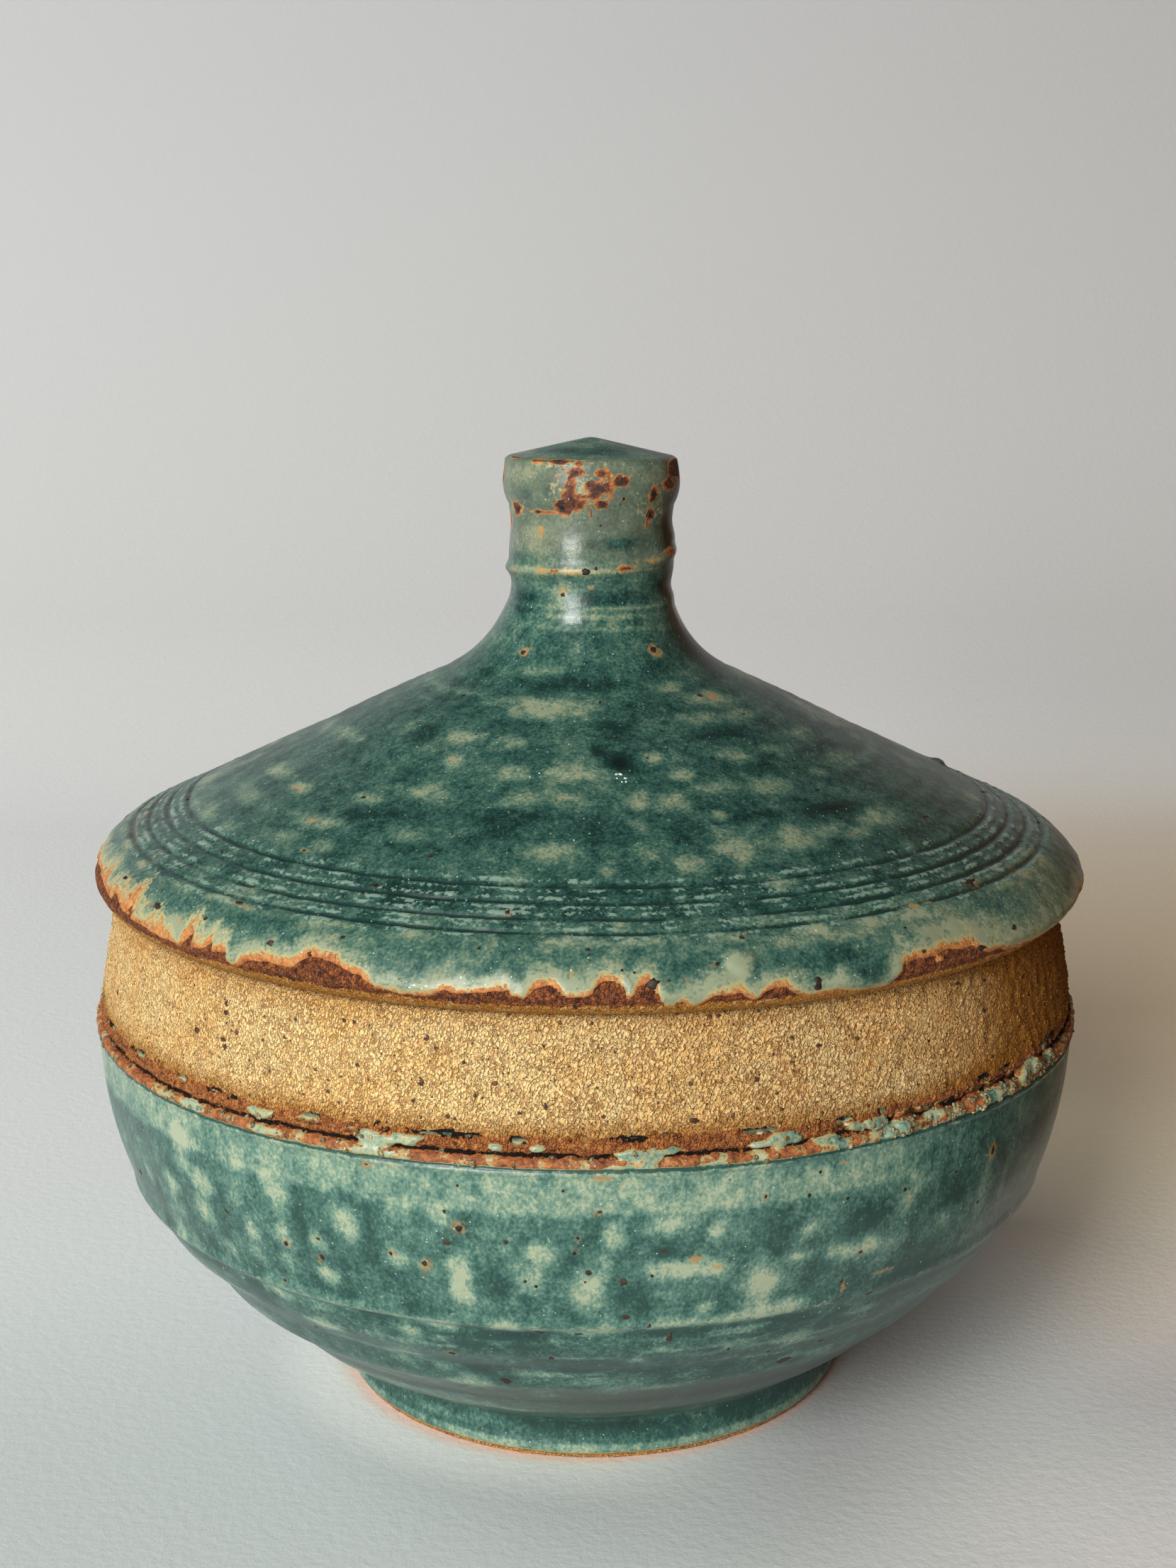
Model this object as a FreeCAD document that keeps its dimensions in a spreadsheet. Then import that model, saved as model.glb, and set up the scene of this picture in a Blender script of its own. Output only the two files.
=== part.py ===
import FreeCAD, Part

import math
import os

import Sketcher

# A lidded stoneware pot, thrown in two pieces. The pot is a bowl on a turned foot ring, the lid
# is a low cone with a knob, and its locating flange drops inside the mouth. Both are coated with
# glaze, apart from the bare band under the lid, the rim, the seat and the foot.
# Millimetres, +Z up, origin at the centre of the ring that the pot stands on.

SIZES = {
    # Foot ring
    "foot_radius": 43.8,
    "foot_taper": 0.5,
    "foot_height": 6.5,
    "foot_wall": 8.0,
    "foot_edge": 0.6,
    "bare_foot": 2.0,
    # Outside of the bowl: the belly is its widest glazed ring
    "belly_radius": 83.75,
    "belly_height": 65.5,
    "upper_sweep": 68.8,
    "hip_inset": 5.55,
    "hip_drop": 26.1,
    "lower_sweep": 114.0,
    "waist_flare": 2.9,
    "waist_rise": 2.2,
    "waist_round": 3.2,
    # Bare band above the belly, with its scored lines
    "band_step": 0.75,
    "band_rise": 1.1,
    "band_sweep": 300.0,
    "score_depth": 0.6,
    "score_width": 1.0,
    "score_pitch": 1.8,
    # Rim and inside of the bowl
    "rim_height": 88.4,
    "rim_lean": 3.6,
    "rim_width": 6.7,
    "rim_bevel": 0.7,
    "bowl_wall": 6.2,
    "bowl_floor": 7.5,
    "well_radius": 34.0,
    "inner_lower_sweep": 70.0,
    "inner_upper_sweep": 66.0,
    "inner_rim_sweep": 90.0,
    # Glaze coats
    "bowl_coat": 0.7,
    "liner_coat": 0.5,
    "liner_drop": 4.0,
    "lid_coat_side": 0.45,
    "lid_coat_top": 0.7,
    # Rim of the lid, with each height counted from the one before it
    "seat_gap": 0.3,
    "lid_overhang": 3.6,
    "lid_undercut": 2.5,
    "seat_width": 6.2,
    "lid_edge_rise": 3.5,
    "lid_edge_round": 3.6,
    "lid_roll_width": 7.2,
    "lid_roll_rise": 6.7,
    "lid_roll_sweep": 12.0,
    # Combed shoulder and cone
    "comb_width": 9.3,
    "comb_rise": 4.3,
    "comb_lines": 4,
    "comb_margin": 0.4,
    "comb_line_depth": 0.35,
    "comb_line_width": 0.7,
    "crown_radius": 25.2,
    "cone_rise": 20.5,
    "cone_sweep": 400.0,
    "lid_wall": 6.3,
    "lid_wall_inset": 3.0,
    # Locating flange
    "flange_gap": 1.8,
    "flange_wall": 4.4,
    "flange_lean": 2.0,
    "flange_drop": 8.2,
    "flange_taper": 0.6,
    "flange_bevel": 1.2,
    # Knob, with each height counted from the one before it
    "neck_radius": 13.6,
    "neck_rise": 13.4,
    "neck_sweep": 19.6,
    "barrel_flare": 0.3,
    "barrel_rise": 15.6,
    "cap_flare": 0.6,
    "cap_swell_rise": 4.3,
    "cap_swell_sweep": 9.0,
    "cap_edge_inset": 0.4,
    "cap_edge_rise": 3.1,
    "cap_rise": 3.3,
    # Throwing ridge that winds up the knob
    "ridge_start": 0.3,
    "ridge_proud": 1.25,
    "ridge_width": 3.4,
    "ridge_root": 1.0,
    "ridge_pitch": 8.3,
    "ridge_climb": 9.2,
}

SHEET = "Sizes"
CONVEX = 1
CONCAVE = -1


class Size:
    """A length with its number and the sheet expression that gives it."""

    def __init__(self, number, text):
        self.number = number
        self.text = text

    def __add__(self, other):
        return Size(self.number + other.number, "(%s + %s)" % (self.text, other.text))

    def __sub__(self, other):
        return Size(self.number - other.number, "(%s - %s)" % (self.text, other.text))

    def scaled(self, share):
        return Size(self.number * share, "(%s * %.6f)" % (self.text, share))


def size(name):
    return Size(SIZES[name], "%s.%s" % (SHEET, name))


ZERO = Size(0.0, "0")

doc = FreeCAD.newDocument("LiddedPot")
sheet = doc.addObject("Spreadsheet::Sheet", SHEET)
for row, (name, number) in enumerate(SIZES.items(), start=1):
    sheet.set("A%d" % row, name)
    sheet.set("B%d" % row, str(number))
    sheet.setAlias("B%d" % row, name)
doc.recompute()


def line_to(radius, height):
    return (radius, height, None, 0)


def arc_to(radius, height, sweep, side):
    """An arc of the given radius; CONVEX bulges away from the clay, CONCAVE into it."""
    return (radius, height, sweep, side)


def shifted(outline, side, top):
    """The same outline, moved outwards by side and upwards by top."""
    return [(radius + side, height + top, sweep, way) for radius, height, sweep, way in outline]


def backwards(outline):
    """The same run of corners and sweeps, drawn from its last corner to its first."""
    run = [line_to(outline[-1][0], outline[-1][1])]
    for index in range(len(outline) - 1, 0, -1):
        radius, height = outline[index - 1][:2]
        sweep, side = outline[index][2:]
        run.append((radius, height, sweep, -side))
    return run


def arc_between(start, end, sweep, side):
    """The arc from start to end, with the clay on its left."""
    chord = end - start
    left = FreeCAD.Vector(-chord.y, chord.x, 0).normalize()
    reach = math.sqrt(sweep * sweep - chord.Length * chord.Length / 4)
    centre = (start + end) * 0.5 + left * (side * reach)
    first, last = (start, end) if side == CONVEX else (end, start)
    first_angle = math.atan2(first.y - centre.y, first.x - centre.x)
    last_angle = math.atan2(last.y - centre.y, last.x - centre.x)
    circle = Part.Circle(centre, FreeCAD.Vector(0, 0, 1), sweep)
    return Part.ArcOfCircle(circle, first_angle, last_angle)


def new_sketch(body, name):
    """An empty sketch on the body's own XZ plane: radius to the right, height up."""
    sketch = body.newObject("Sketcher::SketchObject", name)
    plane = [item for item in body.Origin.OriginFeatures if item.Role == "XZ_Plane"][0]
    sketch.AttachmentSupport = [(plane, "")]
    sketch.MapMode = "FlatFace"
    return sketch


def bind(sketch, constraint, text):
    index = sketch.addConstraint(constraint)
    sketch.setExpression("Constraints[%d]" % index, text)


def draw_loop(sketch, outline):
    """Draw one closed outline, its corners and sweeps bound to the sheet."""
    first_edge = sketch.GeometryCount
    count = len(outline)
    corners = [FreeCAD.Vector(radius.number, height.number, 0) for radius, height, _, _ in outline]
    ends = []
    for index in range(count):
        _, _, sweep, side = outline[(index + 1) % count]
        start = corners[index]
        end = corners[(index + 1) % count]
        if sweep is None:
            sketch.addGeometry(Part.LineSegment(start, end), False)
            ends.append((1, 2))
        else:
            sketch.addGeometry(arc_between(start, end, sweep.number, side), False)
            ends.append((1, 2) if side == CONVEX else (2, 1))
    for index in range(count):
        edge = first_edge + index
        following = (index + 1) % count
        sketch.addConstraint(Sketcher.Constraint(
            "Coincident", edge, ends[index][1], first_edge + following, ends[following][0]))
    for index, (radius, height, _, _) in enumerate(outline):
        edge = first_edge + index
        vertex = ends[index][0]
        if radius is ZERO:
            sketch.addConstraint(Sketcher.Constraint("PointOnObject", edge, vertex, -2))
        else:
            bind(sketch, Sketcher.Constraint("DistanceX", -1, 1, edge, vertex, radius.number),
                 radius.text)
        bind(sketch, Sketcher.Constraint("DistanceY", -1, 1, edge, vertex, height.number),
             height.text)
        sweep = outline[(index + 1) % count][2]
        if sweep is not None:
            bind(sketch, Sketcher.Constraint("Radius", edge, sweep.number), sweep.text)


def revolve(body, name, outlines, kind="PartDesign::Revolution"):
    """Turn closed outlines about the vertical axis, as clay or, for a Groove, as a cut."""
    sketch = new_sketch(body, name + "Outline")
    for outline in outlines:
        draw_loop(sketch, outline)
    turned = body.newObject(kind, name)
    turned.Profile = sketch
    turned.ReferenceAxis = (sketch, ["V_Axis"])
    turned.Angle = 360
    body.Tip = turned
    return turned


def new_body(name, label):
    body = doc.addObject("PartDesign::Body", name)
    body.Label = label
    body.Placement = FreeCAD.Placement()
    return body


def cut_away(blank, tools, name, label):
    """What is left of the blank once the clay pieces are taken out of it."""
    rest = blank
    for index, tool in enumerate(tools):
        cut = doc.addObject("Part::Cut", "%sCut%d" % (name, index))
        cut.Base = rest
        cut.Tool = tool
        rest = cut
    blank.Label = label + "_blank"
    rest.Label = label
    return rest


# ---------------------------------------------------------------- foot ring

foot_top_radius = size("foot_radius") - size("foot_taper")
foot_inner_radius = size("foot_radius") - size("foot_wall")

foot_ring = new_body("FootRing", "foot_ring")
revolve(foot_ring, "FootTurned", [[
    line_to(foot_inner_radius + size("foot_edge"), ZERO),
    line_to(size("foot_radius") - size("foot_edge"), ZERO),
    line_to(size("foot_radius"), size("foot_edge")),
    line_to(size("foot_radius"), size("bare_foot")),
    line_to(foot_top_radius, size("foot_height")),
    line_to(foot_inner_radius, size("foot_height")),
    line_to(foot_inner_radius, size("foot_edge")),
]])

# ---------------------------------------------------------------- bowl

waist_radius = foot_top_radius + size("waist_flare")
waist_height = size("foot_height") + size("waist_rise")
hip_radius = size("belly_radius") - size("hip_inset")
hip_height = size("belly_height") - size("hip_drop")
band_radius = size("belly_radius") + size("band_step")
band_height = size("belly_height") + size("band_rise")
rim_radius = band_radius - size("rim_lean")
mouth_radius = rim_radius - size("rim_width")
rim_shoulder = size("rim_height") - size("rim_bevel")
inner_hip_radius = hip_radius - size("bowl_wall")
inner_belly_radius = size("belly_radius") - size("bowl_wall")
floor_height = size("foot_height") + size("bowl_floor")
liner_edge_radius = mouth_radius + size("rim_bevel")
liner_edge_height = size("rim_height") - size("liner_drop")

glazed_wall = [
    line_to(foot_top_radius, size("foot_height")),
    arc_to(waist_radius, waist_height, size("waist_round"), CONCAVE),
    arc_to(hip_radius, hip_height, size("lower_sweep"), CONVEX),
    arc_to(size("belly_radius"), size("belly_height"), size("upper_sweep"), CONVEX),
]
lined_wall = [
    line_to(liner_edge_radius, liner_edge_height),
    arc_to(inner_belly_radius, size("belly_height"), size("inner_rim_sweep"), CONCAVE),
    arc_to(inner_hip_radius, hip_height, size("inner_upper_sweep"), CONCAVE),
    arc_to(size("well_radius"), floor_height, size("inner_lower_sweep"), CONCAVE),
]

bowl = new_body("Bowl", "bowl")
revolve(bowl, "BowlThrown", [
    [line_to(ZERO, size("foot_height"))]
    + glazed_wall
    + [line_to(band_radius, band_height),
       arc_to(rim_radius, rim_shoulder, size("band_sweep"), CONVEX),
       line_to(rim_radius - size("rim_bevel"), size("rim_height")),
       line_to(mouth_radius + size("rim_bevel"), size("rim_height")),
       line_to(mouth_radius, rim_shoulder)]
    + lined_wall
    + [line_to(ZERO, floor_height)],
])


def score_line(height):
    """A V cut into the bare band at the given height."""
    lip = band_radius + size("score_depth")
    return [
        line_to(band_radius - size("score_depth"), height),
        line_to(lip, height - size("score_width")),
        line_to(lip, height + size("score_width")),
    ]


lower_score = band_height + size("score_width").scaled(0.2)
revolve(bowl, "BandScored", [
    score_line(lower_score),
    score_line(lower_score + size("score_pitch")),
], "PartDesign::Groove")

# ---------------------------------------------------------------- glaze on the bowl

buried = size("bowl_wall").scaled(0.3)
bowl_blank = new_body("BowlCoat", "bowl_glaze_blank")
revolve(bowl_blank, "BowlDipped", [
    [line_to(size("foot_radius") - buried, size("bare_foot")),
     line_to(size("foot_radius") + size("bowl_coat"), size("bare_foot"))]
    + shifted(glazed_wall, size("bowl_coat"), ZERO)
    + backwards(shifted(glazed_wall, ZERO - buried, ZERO)),
])
bowl_glaze = cut_away(bowl_blank, [bowl, foot_ring], "BowlGlaze", "bowl_glaze")

# ---------------------------------------------------------------- liner glaze

liner_side = ZERO - size("liner_coat")
liner_blank = new_body("LinerCoat", "liner_glaze_blank")
revolve(liner_blank, "LinerPoured", [
    [line_to(ZERO, floor_height - buried)]
    + backwards(shifted(lined_wall, buried, ZERO - buried))
    + [line_to(liner_edge_radius + buried, liner_edge_height),
       line_to(liner_edge_radius + liner_side, liner_edge_height)]
    + shifted(lined_wall, liner_side, size("liner_coat"))[1:]
    + [line_to(ZERO, floor_height + size("liner_coat"))],
])
liner_glaze = cut_away(liner_blank, [bowl], "LinerGlaze", "liner_glaze")

# ---------------------------------------------------------------- lid

seat_height = size("rim_height") + size("seat_gap")
lid_radius = rim_radius + size("lid_overhang")
seat_radius = lid_radius - size("lid_undercut")
lid_edge_height = seat_height + size("lid_edge_rise")
comb_outer_radius = lid_radius - size("lid_roll_width")
comb_outer_height = lid_edge_height + size("lid_roll_rise")
comb_inner_radius = comb_outer_radius - size("comb_width")
comb_inner_height = comb_outer_height + size("comb_rise")
crown_height = comb_inner_height + size("cone_rise")
flange_radius = mouth_radius - size("flange_gap")
flange_inner_radius = flange_radius - size("flange_wall")
flange_inner_height = comb_inner_height - size("lid_wall")
flange_outer_height = flange_inner_height - size("flange_lean")

lid_top = [
    arc_to(lid_radius, lid_edge_height, size("lid_edge_round"), CONVEX),
    arc_to(comb_outer_radius, comb_outer_height, size("lid_roll_sweep"), CONVEX),
    line_to(comb_inner_radius, comb_inner_height),
    arc_to(size("crown_radius"), crown_height, size("cone_sweep"), CONVEX),
]


def comb_cut(body, name, side, top):
    """The fine concentric lines that a comb leaves on the lid's shoulder."""
    count = int(round(SIZES["comb_lines"]))
    margin = SIZES["comb_margin"] / SIZES["comb_width"]
    half = size("comb_line_width").scaled(0.5)
    lines = []
    for index in range(count):
        share = margin + (1.0 - 2.0 * margin) * index / (count - 1)
        radius = comb_outer_radius + side - size("comb_width").scaled(share)
        height = comb_outer_height + top + size("comb_rise").scaled(share)
        lines.append([
            line_to(radius, height - size("comb_line_depth")),
            line_to(radius + half, height + size("comb_line_depth")),
            line_to(radius - half, height + size("comb_line_depth")),
        ])
    revolve(body, name, lines, "PartDesign::Groove")


lid_dome = new_body("LidDome", "lid_dome")
revolve(lid_dome, "LidThrown", [
    [line_to(seat_radius, seat_height)]
    + lid_top
    + [line_to(ZERO, crown_height),
       line_to(ZERO, crown_height - size("lid_wall")),
       line_to(size("crown_radius") - size("lid_wall_inset"), crown_height - size("lid_wall")),
       line_to(flange_inner_radius, flange_inner_height),
       line_to(flange_radius, flange_outer_height),
       line_to(seat_radius - size("seat_width"), seat_height)],
])
comb_cut(lid_dome, "LidCombed", ZERO, ZERO)

# ---------------------------------------------------------------- locating flange

flange_foot = seat_height - size("flange_drop")
flange_tip = flange_radius - size("flange_taper")
lid_flange = new_body("LidFlange", "lid_flange")
revolve(lid_flange, "FlangeThrown", [[
    line_to(flange_inner_radius + size("flange_bevel"), flange_foot),
    line_to(flange_tip - size("flange_bevel"), flange_foot),
    line_to(flange_tip, flange_foot + size("flange_bevel")),
    line_to(flange_radius, flange_outer_height),
    line_to(flange_inner_radius, flange_inner_height),
    line_to(flange_inner_radius, flange_foot + size("flange_bevel")),
]])

# ---------------------------------------------------------------- knob

neck_height = crown_height + size("neck_rise")
barrel_radius = size("neck_radius") + size("barrel_flare")
barrel_height = neck_height + size("barrel_rise")
cap_radius = barrel_radius + size("cap_flare")
cap_height = barrel_height + size("cap_swell_rise")
cap_edge_height = cap_height + size("cap_edge_rise")
apex_height = cap_edge_height + size("cap_rise")

knob_top = [
    arc_to(size("neck_radius"), neck_height, size("neck_sweep"), CONCAVE),
    line_to(barrel_radius, barrel_height),
    arc_to(cap_radius, cap_height, size("cap_swell_sweep"), CONVEX),
    line_to(cap_radius - size("cap_edge_inset"), cap_edge_height),
]

lid_knob = new_body("LidKnob", "lid_knob")
revolve(lid_knob, "KnobThrown", [
    [line_to(ZERO, crown_height), line_to(size("crown_radius"), crown_height)]
    + knob_top
    + [line_to(ZERO, apex_height)],
])

ridge_height = neck_height + size("ridge_start")
ridge_half = size("ridge_width").scaled(0.5)
ridge_sketch = new_sketch(lid_knob, "RidgeOutline")
draw_loop(ridge_sketch, [
    line_to(size("neck_radius") - size("ridge_root"), ridge_height - ridge_half),
    line_to(size("neck_radius") + size("ridge_proud"), ridge_height),
    line_to(size("neck_radius") - size("ridge_root"), ridge_height + ridge_half),
])
ridge = lid_knob.newObject("PartDesign::AdditiveHelix", "ThrowingRidge")
ridge.Profile = ridge_sketch
ridge.ReferenceAxis = (ridge_sketch, ["V_Axis"])
ridge.Mode = "pitch-height-angle"
ridge.setExpression("Pitch", size("ridge_pitch").text)
ridge.setExpression("Height", size("ridge_climb").text)
lid_knob.Tip = ridge

# ---------------------------------------------------------------- glaze on the lid

lid_side = size("lid_coat_side")
lid_rise = size("lid_coat_top")
lid_buried = size("lid_wall").scaled(0.3)
lid_blank = new_body("LidCoat", "lid_glaze_blank")
revolve(lid_blank, "LidDipped", [
    [line_to(ZERO, crown_height - lid_buried)]
    + backwards(shifted(lid_top[1:], ZERO - lid_side, ZERO - lid_buried))
    + [line_to(lid_radius - lid_buried, lid_edge_height),
       line_to(lid_radius, lid_edge_height),
       line_to(lid_radius + lid_side, lid_edge_height + lid_rise)]
    + shifted(lid_top[1:] + knob_top, lid_side, lid_rise)
    + [line_to(ZERO, apex_height + lid_rise)],
])
comb_cut(lid_blank, "CoatCombed", lid_side, lid_rise)
lid_glaze = cut_away(lid_blank, [lid_dome, lid_knob], "LidGlaze", "lid_glaze")

# ---------------------------------------------------------------- check and write

doc.recompute()

SUB_PARTS = [
    foot_ring, bowl, bowl_glaze, liner_glaze, lid_dome, lid_flange, lid_knob, lid_glaze,
]

for item in doc.Objects:
    if "Invalid" in item.State or "Error" in item.State:
        raise RuntimeError("%s did not build: %s" % (item.Name, item.State))

os.makedirs("parts", exist_ok=True)
for sub_part in SUB_PARTS:
    shape = sub_part.Shape
    if shape.isNull() or not shape.isValid():
        raise RuntimeError("%s has no sound shape" % sub_part.Label)
    shape.exportStep(os.path.join("parts", sub_part.Label + ".step"))
    box = shape.BoundBox
    print("%-12s solids %d volume %9.1f z %6.2f to %6.2f radius %6.2f" % (
        sub_part.Label, len(shape.Solids), shape.Volume, box.ZMin, box.ZMax, box.XMax))
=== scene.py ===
"""Lidded stoneware pot: turned clay, teal glaze with pale clouds, iron specks, and a plain studio."""

import itertools
import logging
import math
from dataclasses import dataclass, field
from enum import Enum, IntEnum
from typing import Callable, Iterable, NamedTuple

import bpy
import numpy as np
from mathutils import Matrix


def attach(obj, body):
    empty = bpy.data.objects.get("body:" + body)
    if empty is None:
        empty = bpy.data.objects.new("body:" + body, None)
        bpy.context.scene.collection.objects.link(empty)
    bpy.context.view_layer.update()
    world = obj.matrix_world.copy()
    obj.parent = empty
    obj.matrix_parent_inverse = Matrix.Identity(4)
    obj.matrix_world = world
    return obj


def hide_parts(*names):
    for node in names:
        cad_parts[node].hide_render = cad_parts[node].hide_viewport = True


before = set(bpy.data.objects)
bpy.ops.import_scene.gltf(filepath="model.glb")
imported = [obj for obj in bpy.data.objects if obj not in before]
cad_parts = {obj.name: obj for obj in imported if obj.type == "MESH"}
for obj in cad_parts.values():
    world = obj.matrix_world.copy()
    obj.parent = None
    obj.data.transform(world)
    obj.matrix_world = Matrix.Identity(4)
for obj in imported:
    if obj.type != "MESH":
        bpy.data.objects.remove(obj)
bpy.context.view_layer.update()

MM = 0.001
REACH = 84.9  # how far to each side a point may stand, in millimetres
TOP = 164.05  # the highest that a point may stand
RIM = 84.0  # radius at which a stance's lift is measured
UNSEEN = (math.radians(78), math.radians(282))  # turns that the camera doesn't see
LOG = logging.getLogger("stoneware_pot")
Colour = tuple[float, float, float, float]


class Spot(NamedTuple):
    """A mark on the pot where the camera sees it, in the frame's pixels."""

    across: float
    down: float
    wide: float
    tall: float
    strength: float = 1.0


class Bend(Enum):
    """Which way an arc of an outline turns as it is walked with the outside on the right."""

    SWELLS = 1
    HOLLOWS = -1


class Body(Enum):
    """The two bodies of the pot."""

    POT = "pot"
    LID = "lid"


class Pattern(IntEnum):
    """Which pattern of noise each effect reads."""

    MARK_EDGE = 5
    MARK_FRAY = 6
    FOOT_TOAST = 8
    FOOT_GRAIN = 12
    TILT = 31
    TORN = 33
    TEAR_DEPTH = 34
    THIRD_LINE = 35
    BAND_GRIT = 36
    BAND_ROUGH = 37
    BAND_DRAG = 38
    TOAST_EDGE = 39
    TOAST_FRAY = 40
    WAIST_CREST = 41
    TORN_GAPS = 43
    STRIP_TOP = 44
    COAT_LUMPS = 45
    BOWL_SKIN = 46
    UNDER_BAND = 47
    PALE_BAND = 48
    DRIBBLE = 49
    FLAKE_EDGE = 50
    LINER_SKIN = 51
    LINER_CLOUD = 52
    LINER_EDGE = 53
    STREAKS = 54
    DRAWN_DOWN = 55
    RING_STRENGTH = 60
    RING_WANDER = 61
    FLUTES = 62
    SWELL = 63
    COMB_WANDER = 71
    COMB_FRAY = 72
    DOME_GRAIN = 73
    DOME_WAVE = 74
    DOME_TOAST = 75
    FLANGE_SKIN = 76
    FLANGE_TOAST = 77
    EDGE_WANDER = 78
    RIM_GRAIN = 79
    HEM = 80
    HEM_SCALLOPS = 81
    HEM_FRAY = 82
    LIP_BREAKS = 83
    LINE_DEPTH = 84
    KNOB_FACETS = 85
    CONE_WAVE = 86
    CONE_SKIN = 87
    KNOB_SAGE = 88
    RIDGE_OCHRE = 89
    HEM_BEAD = 90
    FLAMES = 94
    COMB_CLOUD = 95


class Draw(IntEnum):
    """Fixed seeds of everything that chance places or shapes."""

    FLAKES = 7
    CRUMBS = 13
    GRIT = 11
    TORN = 12
    BOWL_CLOUDS = 21
    BOWL_POOLS = 22
    BOWL_OCHRES = 23
    BOWL_SPOTS = 31
    BAND_SPOTS = 32
    LID_SPOTS = 33
    SPOT_SHAPES = 41
    LID_CLOUDS = 91
    LID_POOLS = 92
    KNOB_RUST = 93


def marks(*rows: tuple[float, ...]) -> tuple[Spot, ...]:
    """Marks from rows of across, down, half width, half height and, unless it is 1, strength."""
    return tuple(Spot(*row) for row in rows)


# Marks on the lid ---------------------------------------------------------------------------

LID_CLOUDS = marks(
    (772, 996, 78, 15), (763, 946, 34, 7, 0.7), (619, 963, 24, 7, 0.6), (662, 975, 15, 7, 0.8),
    (594, 978, 18, 5, 0.4), (493, 1030, 21, 10, 0.8), (649, 1036, 26, 14), (720, 1045, 19, 10, 0.8),
    (639, 1071, 15, 9), (481, 1082, 27, 12), (392, 1088, 16, 11, 0.8), (420, 1110, 18, 10),
    (518, 1122, 19, 10), (613, 1119, 24, 15, 0.8), (441, 1155, 32, 13), (398, 1174, 26, 12, 0.8),
    (570, 1177, 24, 13, 0.7), (809, 1094, 48, 16), (726, 1091, 21, 10, 0.8), (735, 1128, 29, 13),
    (793, 1122, 26, 13, 0.8), (775, 1198, 30, 16), (450, 1189, 15, 9, 0.6), (949, 969, 17, 8, 0.7),
    (1001, 984, 30, 15), (1046, 1005, 21, 11, 0.8), (991, 1009, 26, 10, 0.8), (1129, 1033, 13, 12, 0.8),
    (924, 1067, 17, 9), (955, 1054, 15, 10), (1031, 1067, 24, 15), (1086, 1057, 17, 11, 0.7),
    (958, 1094, 17, 10), (1019, 1091, 28, 15), (1095, 1107, 30, 15), (1001, 1113, 32, 9, 0.7),
    (949, 1134, 24, 14), (903, 1131, 14, 12, 0.8), (1158, 1088, 9, 9, 0.7), (1184, 1070, 22, 10, 0.7),
    (1227, 1054, 32, 10, 0.6), (1209, 1088, 28, 10, 0.6), (1019, 1152, 13, 7), (1022, 1171, 17, 7, 0.8),
    (1034, 1192, 28, 16), (1111, 1174, 22, 12), (1129, 1189, 26, 14), (1172, 1171, 17, 12, 0.8),
    (1209, 1177, 18, 12, 0.8), (1252, 1149, 24, 18), (976, 1217, 20, 15), (909, 1198, 17, 11, 0.7),
    (854, 1226, 13, 9, 0.6), (900, 1165, 13, 9, 0.6), (1046, 1211, 15, 11, 0.7), (1098, 1243, 16, 10, 0.7),
    (1310, 1129, 17, 11, 0.7), (1157, 1311, 9, 8), (1172, 1321, 60, 7, 0.7), (1044, 1356, 18, 15),
    (351, 1119, 36, 14, 0.7), (291, 1140, 30, 12, 0.5), (240, 1300, 42, 22, 0.6), (190, 1262, 30, 26, 0.6),
    (170, 1215, 16, 30, 0.4), (300, 1318, 40, 20, 0.5), (1440, 1290, 40, 26, 0.4),
    (1390, 1312, 44, 18, 0.45), (1320, 1316, 40, 16, 0.4), (1480, 1240, 26, 30, 0.4),
    (1110, 1331, 40, 9, 0.6), (1280, 1290, 46, 12, 0.5),
)
LID_POOLS = marks(
    (800, 965, 64, 9), (594, 1036, 18, 15, 0.7), (683, 950, 14, 11, 0.8), (872, 1076, 17, 12, 1.6),
    (846, 1060, 14, 9, 1.4), (551, 1146, 44, 11, 0.7), (502, 1143, 22, 10, 0.7), (1175, 1139, 34, 9, 1.6),
    (1016, 1033, 34, 9), (1157, 1048, 16, 10), (967, 1171, 18, 18), (1070, 1150, 40, 10, 0.8),
    (880, 1035, 30, 12, 0.7), (520, 1290, 32, 12, 0.9), (610, 1260, 60, 20, 0.6), (880, 1290, 200, 30, 0.3),
    (392, 1312, 30, 18, 0.8), (1227, 1374, 28, 14, 0.8), (1190, 1352, 60, 14, 0.6),
    (660, 1366, 120, 12, 0.4), (930, 1362, 120, 12, 0.5), (700, 1150, 40, 22, 0.5),
    (860, 1175, 36, 20, 0.5), (560, 1080, 40, 20, 0.5), (1080, 1225, 60, 12, 0.6),
    (1390, 1262, 26, 12, 0.5), (200, 1232, 44, 50, 0.5),
)
LID_OCHRES = marks(
    (639, 1071, 8, 5, 0.9), (420, 1110, 10, 5, 0.8), (438, 1156, 11, 6, 0.9), (1007, 983, 8, 6, 0.9),
    (995, 980, 20, 10, 0.4), (816, 1094, 18, 6, 0.4), (958, 1093, 9, 5, 0.5), (1019, 1152, 6, 4, 0.7),
    (981, 1214, 9, 6, 0.5), (1310, 1270, 7, 4, 1.2), (1291, 1276, 7, 5, 0.8), (770, 997, 40, 6, 0.3),
    (253, 1298, 9, 4, 0.8), (350, 1278, 22, 4, 0.6), (1460, 1224, 5, 5, 0.7), (1202, 1175, 9, 6, 0.5),
    (1115, 1186, 10, 6, 0.4), (965, 1381, 5, 4, 0.9), (808, 1374, 5, 8, 0.8), (428, 1199, 7, 4, 0.8),
)
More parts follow.
